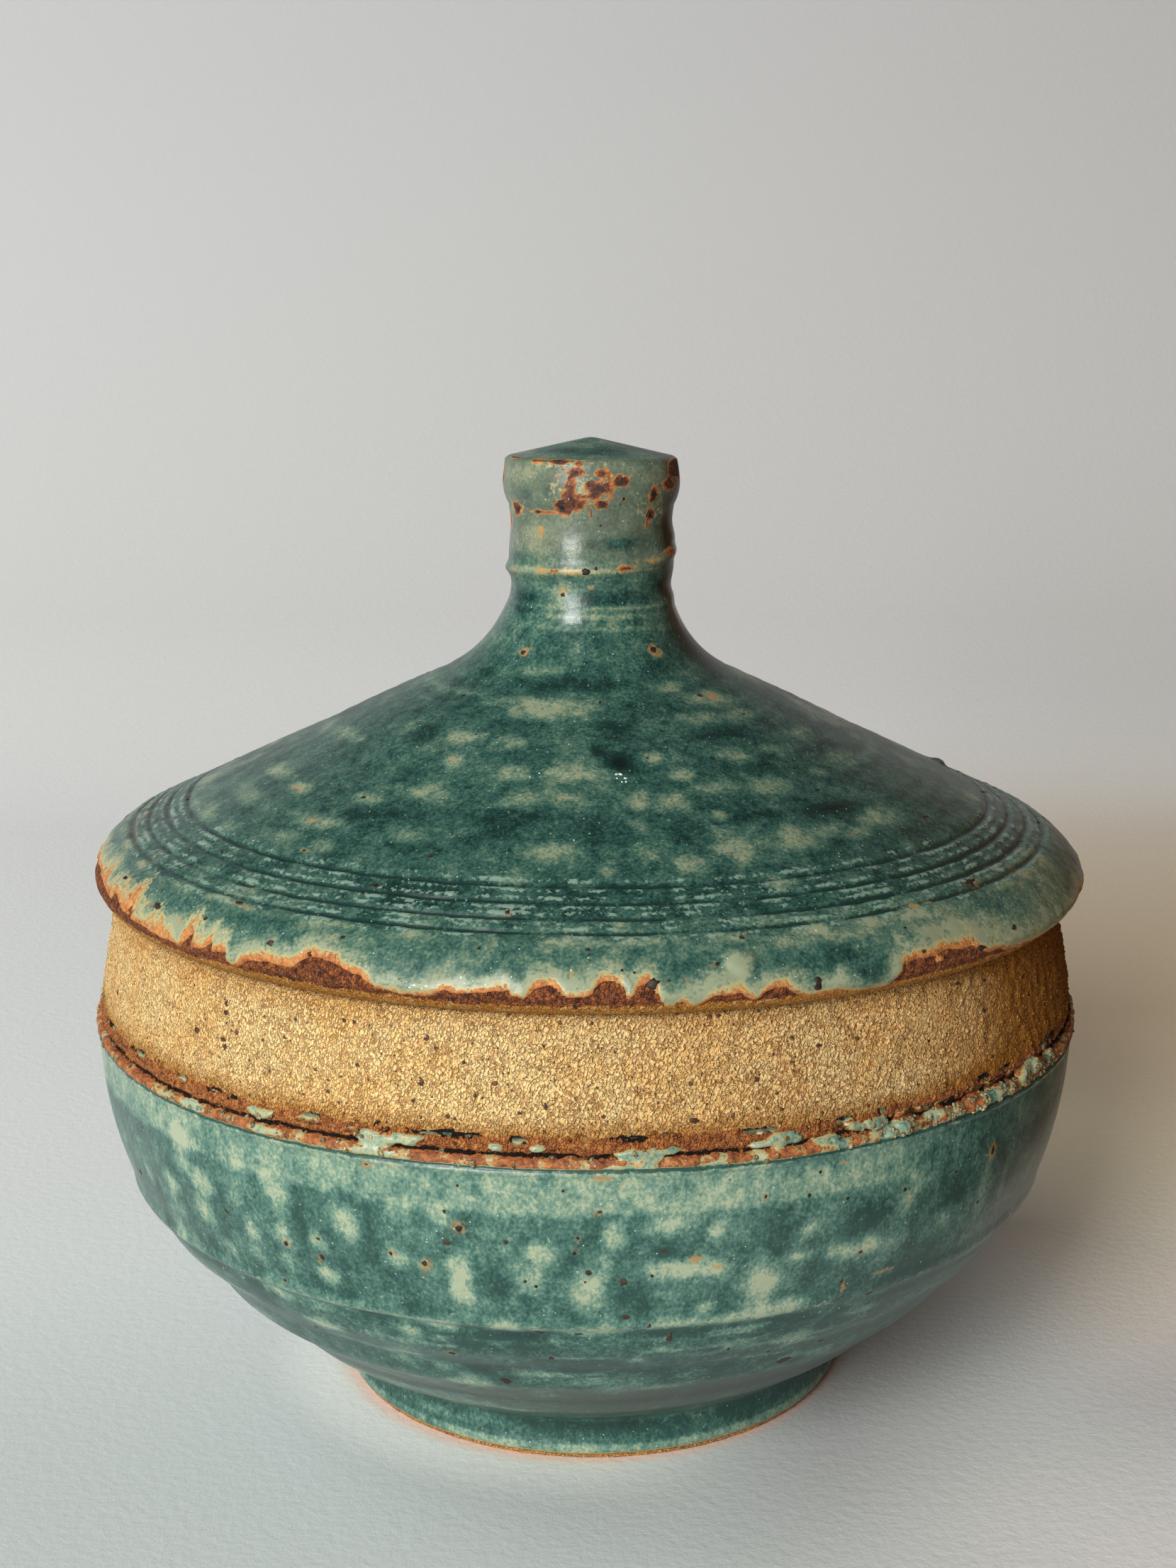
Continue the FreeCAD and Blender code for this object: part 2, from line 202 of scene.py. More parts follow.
LID_IRON = marks(
    (735, 919, 4.6, 4.6), (919, 918, 5, 6), (652, 981, 4, 2.6), (987, 982, 4, 4), (512, 1122, 4, 3),
    (594, 1095, 4, 3), (607, 1207, 4.5, 3), (872, 1084, 9, 4), (1154, 1116, 4.5, 3), (1307, 1153, 4.5, 3),
    (1369, 1244, 8, 6), (1430, 1307, 4, 5), (530, 1249, 5.5, 4), (511, 1259, 3, 2.4), (336, 1273, 6, 4),
    (222, 1277, 5, 6), (177, 1236, 4, 4), (385, 1332, 4.5, 4), (485, 1322, 4, 4), (428, 1199, 3.4, 2.6),
    (714, 1286, 4, 2.5), (676, 1338, 4, 2.5), (829, 1338, 5, 2.5), (875, 1370, 2.4, 2.4),
    (895, 1372, 2.4, 2.4), (1010, 1361, 5, 3.2), (1048, 1321, 5, 4), (918, 1387, 8, 7), (1003, 1414, 7, 6),
    (1155, 1389, 5, 8), (1293, 1372, 6, 8), (1348, 1343, 5, 7), (1305, 1342, 4, 4), (1276, 1307, 2.5, 2.5),
    (435, 1345, 3.5, 3), (776, 1030, 2.5, 2), (846, 988, 2.5, 2), (1088, 1239, 5, 2.5), (291, 1294, 3.4, 4),
    (1384, 1337, 4, 4), (944, 1382, 2.6, 2.6), (670, 1033, 2.4, 2), (914, 1070, 2.4, 2),
    (1050, 1008, 2.6, 2), (1128, 1102, 2.4, 2),
)
KNOB_RUST = marks(
    (755, 650, 14, 2.6), (784, 652, 15, 3.6), (722, 645, 7, 3), (808, 667, 15, 7, 1.3), (801, 682, 9, 13),
    (798, 700, 10, 9), (808, 711, 14, 9), (789, 717, 12, 10, 1.4), (829, 723, 3.4, 9), (829, 684, 7, 5),
    (844, 688, 18, 8), (836, 698, 8, 9), (871, 681, 12, 8, 1.2), (844, 668, 9, 7), (843, 712, 12, 7),
    (725, 720, 7, 11, 1.3), (754, 721, 4.4, 4.4, 1.2), (917, 699, 7, 12, 1.3), (913, 727, 6, 9, 1.3),
    (912, 739, 3.4, 7), (947, 660, 9, 13, 1.3), (941, 683, 9, 10), (941, 779, 9, 5, 0.8),
    (877, 801, 12, 4.6), (780, 806, 6, 5, 0.9), (875, 705, 3.6, 3.4), (812, 655, 9, 4),
    (765, 722, 16, 1.8, 0.8), (855, 676, 4, 12, 0.8), (822, 700, 16, 2.4, 0.8), (857, 700, 3, 8, 0.7),
    (790, 664, 8, 3, 0.8),
)
KNOB_OCHRES = marks(
    (760, 722, 30, 3.4), (829, 655, 6, 4), (783, 672, 7, 5, 0.8), (753, 687, 5, 9, 0.5), (757, 746, 4.5, 9),
    (779, 764, 9, 6, 0.25), (760, 804, 13, 4), (803, 806, 14, 3.6, 0.9), (877, 801, 16, 6),
    (910, 792, 24, 5, 0.5), (789, 836, 9, 9, 0.7), (829, 827, 5, 3.4, 0.8), (820, 690, 52, 34, 0.35),
    (944, 742, 6, 20, 0.3), (735, 919, 10, 8, 0.8), (919, 915, 10, 10, 0.7), (739, 765, 20, 10, 0.12),
)
KNOB_POOLS = marks(
    (872, 769, 42, 13), (734, 789, 19, 8, 0.8), (941, 753, 14, 22, 0.9), (933, 827, 20, 15),
    (878, 844, 56, 10), (737, 847, 20, 14), (737, 695, 8, 9, 0.5), (769, 695, 7, 9, 0.5), (813, 636, 64, 6),
    (800, 788, 50, 6, 0.4), (830, 895, 90, 10, 0.3), (905, 650, 24, 10, 0.3),
)
KNOB_CLOUDS = marks(
    (740, 668, 26, 12, 0.6), (900, 665, 44, 12, 0.4), (760, 755, 44, 22, 0.45), (835, 862, 112, 3, 0.7),
    (835, 873, 105, 3, 0.6), (830, 886, 95, 3.5, 0.5), (790, 835, 18, 16, 0.8), (880, 720, 50, 14, 0.35),
    (835, 805, 110, 4, 0.7), (818, 692, 9, 10), (720, 738, 10, 30, 0.1), (860, 655, 50, 8, 0.3),
    (930, 700, 12, 30, 0.2),
)
KNOB_THIN = marks(
    (815, 690, 50, 34, 0.22), (915, 715, 18, 26, 0.3), (725, 720, 16, 14, 0.25), (800, 655, 60, 6, 0.35),
    (840, 805, 90, 4, 0.3),
)
KNOB_IRON = marks(
    (822, 808, 6, 3.4), (836, 804, 2.6, 2.6), (790, 840, 4, 3.6), (875, 705, 3, 2.8), (754, 721, 3, 3),
    (789, 717, 5, 4), (871, 681, 4, 4), (917, 698, 3.4, 4.6), (913, 726, 3.6, 4), (725, 720, 3, 5),
    (842, 741, 2.4, 2), (808, 668, 4, 2.6),
)
# Painted highlights: small pale glints where the glaze catches the light, made as tiny pale domes.
LID_PAINTED_GLINTS = marks(
    (868, 1090, 3, 1.6), (874, 1094, 3.4, 1.8), (880, 1097, 2.6, 1.6), (870, 1098, 1.6, 1.4),
    (885, 1100, 1.8, 1.8), (877, 1103, 1.5, 1.2), (762, 1088, 1.6, 1), (748, 1093, 1.2, 1.2),
    (808, 1182, 1.2, 1.2), (1152, 1311, 1.2, 1.2), (426, 1353, 1.6, 3), (424, 1341, 1.4, 1.4),
    (575, 1392, 2, 1.6), (583, 1388, 2.4, 1.8), (592, 1394, 1.8, 1.4), (603, 1390, 2.6, 1.6),
    (570, 1384, 1.2, 1.2), (618, 1387, 1.4, 1.4), (648, 1378, 1.8, 1.6), (655, 1386, 1.4, 1.2),
    (668, 1383, 1.6, 1.2), (683, 1389, 1.3, 1.6), (724, 1379, 1.2, 1.4), (808, 1368, 1.2, 1.6),
)
LID_GLAZE_EDGE = (
    (140, 1196), (142, 1222), (146, 1240), (156, 1262), (163, 1250), (172, 1282), (184, 1292), (190, 1266),
    (197, 1300), (213, 1313), (238, 1326), (253, 1334), (268, 1336), (275, 1308), (283, 1334), (296, 1338),
    (300, 1320), (322, 1334), (320, 1356), (332, 1361), (352, 1349), (366, 1346), (385, 1350), (412, 1356),
    (422, 1348), (435, 1341), (465, 1346), (485, 1359), (505, 1373), (528, 1392), (561, 1403), (584, 1406),
    (607, 1403), (622, 1394), (640, 1402), (668, 1401), (696, 1393), (712, 1388), (722, 1402), (736, 1411),
    (750, 1392), (762, 1387), (778, 1383), (790, 1394), (800, 1404), (822, 1407), (836, 1398), (846, 1382),
    (864, 1379), (880, 1385), (886, 1408), (893, 1408), (899, 1386), (916, 1381), (924, 1398), (935, 1420),
    (948, 1420), (965, 1410), (981, 1421), (998, 1410), (1012, 1400), (1028, 1398), (1046, 1395),
    (1058, 1406), (1068, 1412), (1082, 1396), (1104, 1384), (1120, 1395), (1138, 1405), (1160, 1402),
    (1184, 1396), (1209, 1399), (1230, 1405), (1251, 1393), (1265, 1381), (1273, 1364), (1277, 1352),
    (1296, 1347), (1313, 1340), (1337, 1332), (1355, 1330), (1374, 1326), (1386, 1336), (1398, 1342),
    (1411, 1336), (1424, 1339), (1447, 1330), (1487, 1309), (1508, 1287), (1521, 1262),
)
LID_PALE_HOLES = marks(
    (818, 1394, 14, 9), (208, 1300, 9, 14), (180, 1278, 7, 10), (1330, 1352, 9, 7), (640, 1393, 22, 7, 0.7),
)
LID_BUMPS = marks(
    (1044, 1356, 19, 16, 0.55), (1328, 1068, 10, 7, 0.8), (392, 1318, 30, 20, 0.25),
    (1227, 1376, 30, 16, 0.25),
)

# Marks on the bowl --------------------------------------------------------------------------

BOWL_CLOUDS = marks(
    (249, 1609, 12, 15, 0.7), (286, 1669, 17, 17), (243, 1669, 9, 15, 0.9), (289, 1711, 13, 18),
    (205, 1652, 6, 9, 0.7), (259, 1645, 10, 10, 0.7), (256, 1732, 10, 16, 0.7), (326, 1763, 9, 14, 0.9),
    (352, 1734, 9, 17, 0.8), (361, 1764, 8, 12, 0.6), (389, 1679, 18, 24), (400, 1744, 13, 22),
    (404, 1779, 10, 13, 0.8), (450, 1757, 14, 14), (456, 1782, 12, 14), (464, 1801, 12, 12),
    (488, 1732, 18, 23), (551, 1709, 18, 13, 0.8), (556, 1777, 15, 17), (598, 1794, 10, 15, 0.8),
    (624, 1716, 13, 14, 0.7), (647, 1796, 15, 26), (652, 1826, 14, 14, 0.8), (514, 1811, 17, 10, 0.8),
    (786, 1745, 30, 17), (766, 1766, 19, 14), (865, 1749, 15, 19), (750, 1809, 12, 20, 0.6),
    (826, 1826, 23, 24), (852, 1787, 12, 18, 0.7), (942, 1733, 35, 14), (1011, 1737, 12, 15, 0.9),
    (952, 1796, 54, 11), (1002, 1788, 30, 8, 0.9), (1071, 1812, 22, 30), (995, 1845, 16, 7, 0.8),
    (1131, 1773, 22, 9), (1203, 1765, 34, 13), (1224, 1752, 20, 12), (1296, 1670, 17, 20),
    (1281, 1692, 14, 22), (1330, 1718, 15, 17), (1257, 1751, 16, 12, 0.7), (1142, 1737, 12, 14, 0.7),
    (1156, 1664, 22, 15, 0.7), (1386, 1664, 7, 38, 0.8), (1417, 1664, 5, 34, 0.6), (1361, 1737, 9, 18, 0.7),
    (400, 1826, 28, 9, 0.8), (471, 1843, 27, 8), (514, 1856, 15, 8), (464, 1868, 18, 9, 0.7),
    (511, 1889, 28, 13, 0.8), (611, 1867, 40, 9), (579, 1879, 14, 9), (714, 1875, 32, 9),
    (661, 1946, 28, 12), (632, 1929, 22, 7, 0.7), (575, 1914, 30, 12, 0.6), (837, 1881, 38, 7),
    (1110, 1838, 24, 9), (1040, 1856, 60, 8, 0.9), (950, 1868, 40, 9, 0.7), (904, 1917, 18, 6, 0.8),
    (976, 1934, 18, 9, 0.5), (887, 1955, 38, 13, 0.55), (959, 1963, 22, 8, 0.45), (1119, 1883, 34, 6, 0.7),
    (769, 1967, 18, 8, 0.8), (1199, 1839, 44, 8, 0.6), (618, 1987, 30, 6, 0.6), (700, 2003, 30, 7, 0.5),
    (930, 1995, 40, 7, 0.4), (1080, 1985, 22, 6, 0.4), (330, 1690, 12, 20, 0.4),
)
BOWL_POOLS = marks(
    (703, 1806, 16, 32), (1098, 1752, 16, 28), (885, 1735, 9, 22, 0.6), (806, 1795, 14, 22, 0.7),
    (1229, 1715, 28, 22), (1344, 1676, 18, 24), (1395, 1603, 18, 14, 0.7), (1108, 1720, 20, 16, 0.6),
    (1204, 1659, 20, 10, 0.6), (1296, 1636, 18, 12, 0.5), (320, 1745, 9, 34, 0.8), (425, 1740, 10, 36, 0.7),
    (520, 1750, 12, 34, 0.6), (640, 1755, 24, 16, 0.5), (230, 1700, 9, 26, 0.7), (850, 1712, 90, 6, 0.7),
    (620, 1890, 36, 10, 0.7), (735, 1895, 40, 12, 0.6), (700, 1935, 44, 12, 0.7), (810, 1925, 50, 14, 0.6),
    (560, 1848, 40, 10, 0.6), (1000, 1905, 40, 8, 0.6), (470, 1820, 36, 10, 0.5), (834, 2012, 260, 11, 0.9),
    (1090, 1960, 60, 12, 0.5), (560, 1985, 60, 10, 0.7), (1150, 1800, 22, 14, 0.5),
    (1000, 1820, 40, 10, 0.4), (895, 1830, 18, 26, 0.6), (930, 1765, 50, 10, 0.4),
    (1300, 1772, 70, 34, 0.9), (960, 1950, 150, 22, 0.35),
)
BOWL_OCHRES = marks(
    (982, 1779, 8, 6), (1015, 1789, 11, 5, 0.9), (1186, 1818, 4, 6), (1180, 1827, 4, 4, 0.8),
    (1245, 1790, 18, 5, 0.8), (599, 1790, 9, 12, 0.6), (553, 1769, 9, 8, 0.7), (452, 1779, 8, 11, 0.6),
    (449, 1747, 7, 6, 0.5), (646, 1734, 9, 9, 0.5), (624, 1714, 8, 8, 0.4), (845, 1663, 26, 4, 0.8),
    (879, 1673, 5, 4, 0.9), (1051, 1657, 22, 4, 0.5), (1297, 1668, 9, 9, 0.5), (1283, 1690, 8, 14, 0.5),
    (516, 1644, 7, 5, 0.8), (401, 1755, 5, 7, 0.5), (1400, 1625, 6, 12, 0.9), (887, 1953, 22, 8, 0.3),
    (661, 1944, 16, 8, 0.3), (1060, 1660, 40, 5, 0.3), (976, 1997, 11, 4, 0.6), (1190, 1636, 7, 4, 0.8),
    (225, 1535, 30, 9, 0.6),
)
BOWL_IRON = marks(
    (624, 1712, 3.6, 3.6), (646, 1734, 6, 5.6), (627, 1753, 5.5, 6, 0.4), (715, 1751, 5, 4.5, 0.4),
    (726, 1712, 3.4, 3), (816, 1747, 3.2, 3), (810, 1771, 4, 3.4), (833, 1795, 6, 5, 0.7),
    (878, 1812, 6.5, 6.5, 0.5), (884, 1857, 8, 7.5, 0.6), (754, 1818, 3.4, 3), (743, 1805, 3, 2.6),
    (828, 1812, 2.4, 2.4), (939, 1763, 5, 4, 0.7), (922, 1802, 3, 3), (1076, 1749, 2.8, 2.8),
    (1079, 1691, 3, 3.6), (796, 1682, 2.8, 2.8), (647, 1670, 2.8, 2.8), (762, 1880, 10, 5, 0.6),
    (918, 1869, 3, 2.6), (848, 1712, 5, 3), (1400, 1625, 3.6, 8), (1142, 1687, 3.6, 3.6),
    (1197, 1688, 3, 3), (1155, 1653, 3, 3), (1277, 1679, 3.4, 4), (1348, 1655, 2.6, 3),
    (1214, 1763, 3.6, 3.4), (1378, 1696, 2.2, 3), (401, 1755, 4, 5), (452, 1777, 4.6, 5),
    (446, 1746, 3.6, 2.8), (549, 1767, 3.4, 3.4), (599, 1786, 5, 5), (320, 1709, 2.6, 3.4),
    (404, 1807, 3.2, 3.2), (448, 1872, 4, 3), (639, 1907, 6.5, 3.2), (714, 1947, 9, 4, 0.7),
    (945, 1888, 6, 4, 0.4), (1026, 1902, 3.4, 2.6), (1084, 1908, 3.8, 2.4), (1106, 1917, 12, 6, 0.3),
    (1157, 1892, 5.5, 3, 0.4), (1226, 1824, 6, 3.4, 0.7), (1213, 1763, 2.6, 2.6), (818, 1888, 9, 4, 0.6),
    (778, 1915, 5.5, 2.8, 0.5), (197, 1655, 2, 6), (1186, 1810, 2.4, 4), (516, 1644, 3.6, 3),
)
BAND_IRON = marks(
    (278, 1452, 5, 5), (318, 1428, 3.6, 4.4), (316, 1465, 4, 3.4), (317, 1478, 3, 4.6),
    (334, 1455, 3.4, 4.4), (319, 1415, 3.4, 4), (328, 1453, 2.4, 2.6), (484, 1438, 3.6, 3.6),
    (500, 1443, 3, 3), (602, 1465, 5, 5), (614, 1478, 4, 3.4), (594, 1527, 6, 5.6), (569, 1514, 6, 4, 0.8),
    (504, 1501, 3.6, 3), (445, 1509, 3, 3), (402, 1463, 3, 3), (582, 1554, 3.2, 3), (631, 1573, 3.6, 4),
    (478, 1554, 2.6, 2.6), (379, 1511, 2.4, 2.4), (700, 1527, 5, 4), (768, 1560, 4, 4.4),
    (849, 1576, 3.6, 3), (837, 1587, 3, 3), (979, 1582, 6.5, 4.6), (1037, 1574, 3.4, 4.4),
    (1066, 1523, 6, 5), (1103, 1566, 3.4, 3), (940, 1600, 4.4, 3.4), (735, 1571, 3, 2.6),
    (1098, 1542, 3, 3), (1153, 1475, 5, 3.4), (1311, 1469, 3.4, 3.4), (1158, 1570, 4, 3.4),
    (1401, 1490, 2.6, 3.6), (1388, 1383, 3.4, 3), (1444, 1378, 2.6, 4), (1462, 1385, 2.4, 5),
    (1348, 1388, 3.4, 2.6), (1388, 1424, 2.8, 3.4), (791, 1444, 3.6, 3.6), (834, 1443, 3, 3),
    (720, 1432, 3.6, 2.6), (1014, 1434, 3, 2.6), (1034, 1445, 2.8, 2.8), (1120, 1500, 3.4, 2.6),
    (880, 1500, 2.8, 2.4), (655, 1500, 3, 3),
)
BAND_FLAKES = marks(
    (362, 1571, 20, 6), (375, 1596, 24, 5), (521, 1606, 24, 11), (571, 1609, 20, 10), (269, 1560, 16, 5),
    (528, 1626, 44, 4, 0.8), (696, 1620, 12, 5), (756, 1623, 11, 5), (930, 1628, 50, 9), (875, 1648, 20, 4),
    (1078, 1616, 27, 8), (1111, 1603, 10, 8), (918, 1643, 10, 6), (1015, 1643, 12, 6), (630, 1619, 14, 5),
    (1117, 1608, 18, 6), (1170, 1608, 20, 6, 0.8), (1235, 1586, 27, 9), (1280, 1589, 28, 9),
    (1319, 1572, 24, 9), (1347, 1577, 18, 8), (1397, 1549, 12, 9), (1459, 1505, 12, 12),
    (1479, 1496, 8, 12),
)


# Numbers to do with surfaces ----------------------------------------------------------------

HASH_PRIMES = (73856093, 19349663, 83492791)
HASH_SEED = 1013904223
HASH_TURN = 1274126177


def lattice_noise(points: np.ndarray, seed: int) -> np.ndarray:
    """Smooth noise with a feature about every unit.

    Args:
        points: Places to read it at, as rows of x, y, z.
        seed: Which of its patterns to read.

    Returns:
        Numbers from -1 to 1, one for each place.
    """
    base = np.floor(points).astype(np.int64)
    part = points - base
    smooth = part * part * (3.0 - 2.0 * part)
    total = np.zeros(len(points))
    for corner in itertools.product((0, 1), repeat=3):
        cell = base + np.array(corner)
        key = int(seed) * HASH_SEED
        for axis, prime in enumerate(HASH_PRIMES):
            key = key ^ (cell[:, axis] * prime)
        key = (key ^ (key >> 13)) * HASH_TURN & 0x7FFFFFFF
        value = ((key ^ (key >> 16)) & 0xFFFF) / 32767.5 - 1.0
        weight = np.prod(np.where(np.array(corner), smooth, 1.0 - smooth), axis=1)
        total += value * weight
    return total


def layered_noise(points: np.ndarray, cell: float, seed: int, layers: int = 3) -> np.ndarray:
    """Noise of several sizes added up.

    Args:
        points: Places in millimetres.
        cell: Size of the largest feature, in millimetres.
        seed: Which pattern.
        layers: How many sizes, each half the last.

    Returns:
        Numbers from about -1 to 1.
    """
    total = np.zeros(len(points))
    weight = 0.0
    for layer in range(layers):
        share = 0.5**layer
        total += share * lattice_noise(points * (2.0**layer / cell), seed + layer * 17)
        weight += share
    return total / weight * 1.3


def stretched(points: np.ndarray, x: float, y: float, z: float) -> np.ndarray:
    """Places with each axis scaled, so that noise read there is drawn out."""
    return points * np.array([x, y, z])


def ease(low: float, high: float, value: np.ndarray) -> np.ndarray:
    """A smooth step from 0 at low to 1 at high, also where low is the larger."""
    part = np.clip((value - low) / (high - low), 0.0, 1.0)
    return part * part * (3.0 - 2.0 * part)


def window(value: np.ndarray, start: float, full: float, last: float, end: float) -> np.ndarray:
    """Rises from 0 at start to 1 at full, and falls from 1 at last to 0 at end."""
    return ease(start, full, value) * ease(end, last, value)


def bell(value: np.ndarray, middle: float | np.ndarray, width: float | np.ndarray) -> np.ndarray:
    """1 where a value is at the middle, fading over the width to both sides."""
    return np.exp(-(((value - middle) / width) ** 2))


def unit(ways: np.ndarray) -> np.ndarray:
    """Rows of two numbers scaled to length 1."""
    return ways / np.maximum(np.hypot(*ways.T), 1e-9)[:, None]


def show(name: str, mesh: bpy.types.Mesh) -> bpy.types.Object:
    """Puts a mesh into the scene as an object.

    Args:
        name: Name of the object.
        mesh: Its mesh.

    Returns:
        The object.
    """
    made = bpy.data.objects.new(name, mesh)
    bpy.context.scene.collection.objects.link(made)
    return made


def keep_number(mesh: bpy.types.Mesh, name: str, values: np.ndarray) -> None:
    """Keeps a number with each point of a mesh, for the materials to read."""
    layer = mesh.attributes.new(name, "FLOAT", "POINT")
    layer.data.foreach_set("value", np.ascontiguousarray(values, np.float32))


@dataclass(frozen=True)
class Viewpoint:
    """Where the camera stands, in millimetres, and how it maps the pot into the frame."""

    away: float = 371.3
    height: float = 183.6
    dip: float = math.radians(12.07)
    focal: float = 3072.0
    middle: tuple[float, float] = (829.5, 1106.0)
    lens: float = 50.0

    def frame_place(self, x: np.ndarray, y: np.ndarray, z: np.ndarray) -> tuple[np.ndarray, np.ndarray]:
        """Where points fall in the frame.

        Args:
            x: How far right they stand, in millimetres.
            y: How far back they stand.
            z: Their height.

        Returns:
            Pixels across and pixels down.
        """
        ahead, above = y + self.away, z - self.height
        depth = ahead * math.cos(self.dip) - above * math.sin(self.dip)
        rise = ahead * math.sin(self.dip) + above * math.cos(self.dip)
        return self.middle[0] + self.focal * x / depth, self.middle[1] - self.focal * rise / depth

    def place(self) -> None:
        """Puts the camera there and makes it the scene's."""
        data = bpy.data.cameras.new("view")
        data.lens, data.sensor_width, data.sensor_fit = self.lens, 36.0, "AUTO"
        data.clip_start, data.clip_end = 0.01, 20.0
        camera = bpy.data.objects.new("view", data)
        camera.location = (0.0, -self.away * MM, self.height * MM)
        camera.rotation_euler = (math.pi / 2 - self.dip, 0.0, 0.0)
        bpy.context.scene.collection.objects.link(camera)
        bpy.context.scene.camera = camera


VIEW = Viewpoint()


class Row(NamedTuple):
    """One ring of points of a turned form."""

    radius: float
    height: float
    count: int


@dataclass
class Stance:
    """How a turned form stands off the true axis, in millimetres.

    The form is shifted to the right, shifted further at its foot, and lifted at its left rim.
    """

    shift: float = 0.0
    lift: float = 0.0
    foot_shift: float = 0.0

    def across(self, height: np.ndarray) -> np.ndarray:
        """How far to the right the form stands at each height."""
        return self.shift + self.foot_shift * ease(13.0, 6.5, height)


@dataclass
class Turning:
    """A turned form, walked with its outside on the right and built as rings of points."""

    stance: Stance
    rows: list[Row] = field(default_factory=list)
    closed: bool = False
    crowding: float = 0.25  # how much closer together the points of a ring stand at the front

    def start(self, radius: float, height: float, count: int) -> "Turning":
        """Begins the outline."""
        self.rows.append(Row(radius, height, count))
        return self

    def line(self, radius: float, height: float, step: float, count: int = 0) -> "Turning":
        """Adds a straight run.

        Args:
            radius: Where it ends, from the axis.
            height: Where it ends, above the table.
            step: Distance between rings.
            count: Points in each ring, or 0 for as many as before.

        Returns:
            The form itself.
        """
        first = self.rows[-1]
        pieces = max(1, round(math.hypot(radius - first.radius, height - first.height) / step))
        for part in np.linspace(0.0, 1.0, pieces + 1)[1:]:
            self.rows.append(Row(
                first.radius + (radius - first.radius) * part,
                first.height + (height - first.height) * part,
                count or first.count,
            ))
        return self

    def arc(
        self, radius: float, height: float, sweep: float, bend: Bend, step: float, count: int = 0
    ) -> "Turning":
        """Adds an arc.

        Args:
            radius: Where it ends, from the axis.
            height: Where it ends, above the table.
            sweep: The arc's own radius.
            bend: Which way it turns.
            step: Distance between rings.
            count: Points in each ring, or 0 for as many as before.

        Returns:
            The form itself.
        """
        first = self.rows[-1]
        run = np.array([radius - first.radius, height - first.height])
        span = float(np.hypot(*run))
        left = np.array([-run[1], run[0]]) / span
        middle = np.array([first.radius, first.height]) + run / 2
        centre = middle + left * bend.value * math.sqrt(max(sweep**2 - span**2 / 4, 0.0))
        begin = math.atan2(first.height - centre[1], first.radius - centre[0])
        turn = 2 * math.asin(min(1.0, span / 2 / sweep)) * bend.value
        pieces = max(2, round(abs(turn) * sweep / step))
        for part in np.linspace(0.0, 1.0, pieces + 1)[1:]:
            angle = begin + turn * part
            self.rows.append(Row(
                centre[0] + sweep * math.cos(angle),
                centre[1] + sweep * math.sin(angle),
                count or first.count,
            ))
        return self

    def skin(self) -> "Skin":
        """Reads every point of the form, before anything raises or sinks it.

        Returns:
            The points with their turn, their place on the outline and their way out.
        """
        ring = np.array([(row.radius, row.height) for row in self.rows])
        ahead = np.roll(ring, -1, 0) - ring
        behind = ring - np.roll(ring, 1, 0)
        if not self.closed:
            ahead[-1] = behind[-1]
            behind[0] = ahead[0]
        way = unit(unit(ahead) + unit(behind))
        along = np.concatenate([[0.0], np.cumsum(np.hypot(*ahead.T))[:-1]])
        counts = [row.count for row in self.rows]
        turn = np.concatenate([np.arange(n) * 2 * math.pi / n - math.pi for n in counts])
        columns = (ring[:, 0], ring[:, 1], way[:, 1], -way[:, 0], along)
        spread = [np.repeat(column, counts) for column in columns]
        return Skin(turn - self.crowding * np.sin(turn), *spread, self.stance)

    @staticmethod
    def join(a: int, n: int, b: int, m: int) -> list[tuple[int, ...]]:
        """Makes the faces between two rings.

        Args:
            a: First point of the earlier ring.
            n: How many points it has.
            b: First point of the later ring.
            m: How many points that has.

        Returns:
            Faces of three or four points, facing out.

        Raises:
            ValueError: The counts differ, neither is 1 and neither is twice the other.
        """
        if n == m:
            return [(a + i, a + (i + 1) % n, b + (i + 1) % n, b + i) for i in range(n)]
        if n == 1:
            return [(a, b + (i + 1) % m, b + i) for i in range(m)]
        if m == 1:
            return [(a + i, a + (i + 1) % n, b) for i in range(n)]
        made: list[tuple[int, ...]] = []
        if n == 2 * m:
            for i in range(m):
                odd, after, above = a + 2 * i + 1, a + (2 * i + 2) % n, b + (i + 1) % m
                made += [(odd - 1, odd, b + i), (odd, above, b + i), (odd, after, above)]
        elif m == 2 * n:
            for i in range(n):
                odd, after, beside = b + 2 * i + 1, b + (2 * i + 2) % m, a + (i + 1) % n
                made += [(a + i, odd, odd - 1), (a + i, beside, odd), (beside, after, odd)]
        else:
            raise ValueError(f"rings of {n} and {m} points don't join")
        return made

    def faces(self) -> list[tuple[int, ...]]:
        """Makes all the form's faces.

        Returns:
            Faces as numbers of points, facing out.
        """
        counts = [row.count for row in self.rows]
        starts = [0, *itertools.accumulate(counts)]
        pairs = list(itertools.pairwise(range(len(self.rows))))
        if self.closed:
            pairs.append((len(self.rows) - 1, 0))
        made: list[tuple[int, ...]] = []
        for low, high in pairs:
            made += self.join(starts[low], counts[low], starts[high], counts[high])
        return made

    def piece(self, name: str, rise: np.ndarray, fields: dict[str, np.ndarray]) -> bpy.types.Object:
        """Makes the Blender object.

        Args:
            name: Its name.
            rise: How far each point stands out of the outline, in millimetres.
            fields: Numbers kept with each point for the materials.

        Returns:
            The object, with smooth faces.
        """
        mesh = bpy.data.meshes.new(name)
        mesh.from_pydata((self.skin().points(rise) * MM).tolist(), [], self.faces())
        for key, values in fields.items():
            keep_number(mesh, key, values)
        mesh.validate()
        mesh.shade_smooth()
        return show(name, mesh)


